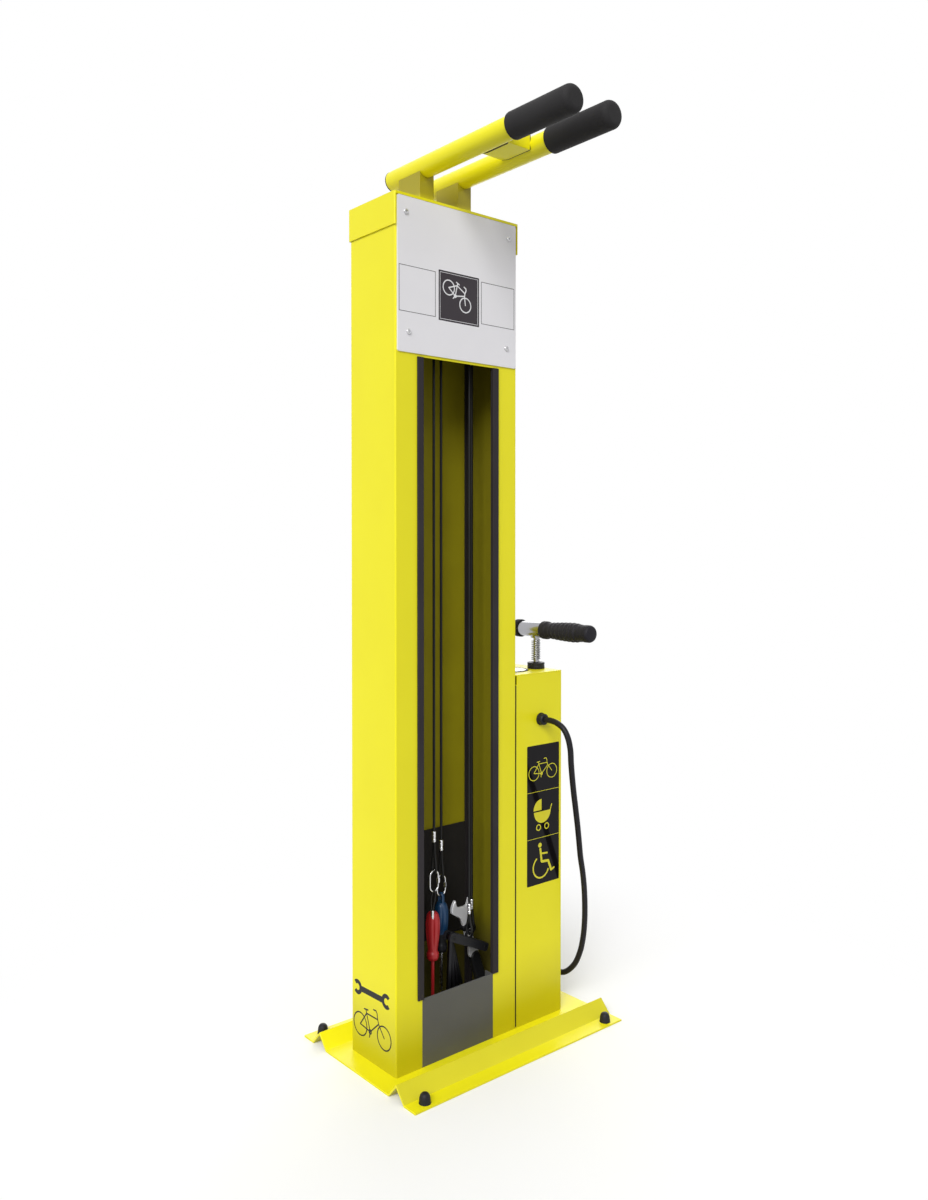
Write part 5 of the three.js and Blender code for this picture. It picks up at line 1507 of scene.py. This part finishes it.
# %% Forge the shafts
def flat_blade(turn, height):
    """Round down to -235, and over the next 8 mm ever wider, thinner and squarer."""
    share = min(1.0, max(0.0, (-235 - height) / 8))
    a, b, power = 2.5 + share, 2.5 - 1.9 * share, 2 + 6 * share
    return (abs(math.cos(turn) / a) ** power + abs(math.sin(turn) / b) ** power) ** (-1 / power)


def cross_tip(turn, height):
    """Four notches, which reach their depth over 6 mm."""
    share = min(1.0, max(0.0, (-218 - height) / 6))
    return 1 - 0.5 * share * math.cos(2 * turn) ** 6


blade = turned("red_driver_blade", [(0, -228), *[(1, -228 - k) for k in range(25)], (0, -252.8)],
               red_at, sides=48, wave=flat_blade)
coat = turned("red_driver_shaft", [(2.75, -135.1), (2.75, -230), (2.5, -230.6)], red_at,
              sides=32, ease=0.3)
fitted(coat, "flat_driver", red_grip, "flat_driver_shaft", slot="red_sheath")
fitted(blade, "flat_driver", driver_steel)
tip = [(2.75 - 2.15 * k / 10, -221.1 - 0.6 * k) for k in range(11)]
cross_shaft = turned("blue_driver_shaft", [(2.75, -109.4), (2.75, -160), *tip], cross_at,
                     sides=64, ease=0, wave=cross_tip)
fitted(cross_shaft, "cross_driver", driver_steel, "cross_driver_shaft", slot="tool_steel")
print("Shafts, mm:", millimetres(coat.dimensions), millimetres(cross_shaft.dimensions))

# %% [markdown]
# ## Open-ended spanner
#
# The spanner is drop forged and satin plated. Its jaw is turned a little from the shank,
# so that flipping the tool reaches the next flat of a nut. The plating has thousands of
# tiny dimples that scatter light, so it looks nearly white in daylight where a polished
# one would mirror the dark mat. The lower half is dipped in black vinyl, and a rubber
# ring on the neck holds the eyelet that the cable runs through.

# %% Draw the spanner's outline
spanner_frame = column_frame @ Matrix.Translation((194.7, 62, 164)) @ Matrix.Rotation(
    math.radians(-18.5), 4, "Y")
jaw_middle, head_radius, jaw_tip, jaw_turn = (0, 41), 21.8, 12.4, 22
tip_angle = math.degrees(math.acos(jaw_tip / head_radius))


def in_the_jaw(a, b):
    c, s = math.cos(math.radians(jaw_turn)), math.sin(math.radians(jaw_turn))
    return (a * c + b * s, jaw_middle[1] + b * c - a * s)


half_mouth = [(jaw_tip, 8.5), (10.9, 4.9), (6.7, 2.5)]
mouth = [in_the_jaw(-a, b) for a, b in half_mouth]
mouth += [in_the_jaw(a, b) for a, b in half_mouth[::-1]]
right_head = arc(jaw_middle, head_radius, tip_angle - jaw_turn, -30, 12)
right_side = [(15.6, 27.6), (12.6, 24.6), (9.9, 22.2), (8.0, 19.2), (7.0, 15), (6.8, 7.5)]
shank = [(7, 0), (7.5, -30), (9, -38), (11, -44), (9, -50), (7, -60)]
left_side = [(-6.8, 7.5), (-6.8, 16), (-7.0, 21.5), (-8.2, 26), (-11, 30.4), (-14.6, 34.4),
             (-17.8, 38.2)]
left_head = arc(jaw_middle, head_radius, 172, 180 - tip_angle - jaw_turn, 9)
spanner_outline = mouth + right_head[1:] + right_side + shank
spanner_outline += [(-a, b) for a, b in shank[::-1]] + left_side + left_head[:-1]
print("Spanner outline:", len(spanner_outline), "corners")

# %% Forge the spanner
satin_plating = mixed_finish(
    "satin_tool_plating", (0.86, 0.86, 0.88), (0.80, 0.80, 0.82), (0.3, 0.42), 1500, 0.00006,
    metal=0.35,
)
dipped_vinyl = mixed_finish(
    "dipped_vinyl", (0.010, 0.010, 0.011), (0.014, 0.014, 0.015), (0.28, 0.4), 700, 0.0001,
    mirror=0.2,
)
forged = cut_out("spanner_steel", spanner_outline, -2.9, 2.9, 1.2, segments=3,
                 where=spanner_frame)
lug = turned("spanner_lug", [
    (6.5, -1.5), (8.3, -1.5), (8.3, 1.5), (4.8, 1.5), (4.8, -1.5), (6.4, -1.5),
], (205.5, 62, 163.65), "Y", 48, ease=0.5, ring=True)
dipped = cut_out("spanner_dip", box_outline(-10, -118, 10, -43, 9, 8), -6, 6, 4, segments=5,
                 where=spanner_frame)
neck_ring = cut_out("spanner_neck_ring", box_outline(-10, 2, 10, 11.5, 3), -5.6, 5.6, 1.6,
                    segments=3, where=spanner_frame)
spanner = fitted(forged, "spanner", satin_plating, "open_spanner", slot="tool_steel")
fitted(joined("spanner_rubber", dipped, neck_ring, lug), "spanner", dipped_vinyl)
print("Spanner, mm:", millimetres(spanner.dimensions))

# %% [markdown]
# ## Folding hex keys
#
# The set is a moulded body with two cheeks. Its keys turn about a screw at one end and
# hang open, each leaning a little further. They are blackened, not plated.

# %% Make the hex key set
set_frame = column_frame @ Matrix.Translation((170, 35, 158.89)) @ Matrix.Rotation(
    math.radians(25), 4, "Y")
black_keys = mixed_finish(
    "blackened_key_steel", (0.035, 0.035, 0.038), (0.026, 0.026, 0.029), (0.36, 0.5), 1300, 0.00004,
    metal=1.0,
)
set_body = copied("hex_set_body", "key_set_body", 0.9, "hex_set", moulded_black, "dark_steel", 3)
set_screws = []
for along, wide in ((-36, 3.4), (39, 2.6)):
    for way in (-1, 1):
        profile = [(wide, -0.5), (wide, 0.5), (wide - 0.7, 0.9), (1.3, 0.9), (1.3, 0.1)]
        set_screws.append(turned(
            f"key_set_screw_{along}_{way}", [(r, way * (9 + z)) for r, z in profile],
            (along, 0, 0), "Y", 32, ease=0.2, where=set_frame,
        ))
fitted(joined("key_set_screws", *set_screws), "hex_set", black_keys)
copied("hex_set_keys", "key_fan", 0.25, "hex_keys", black_keys, "dark_steel")
print("Key set, mm:", millimetres(set_body.dimensions))
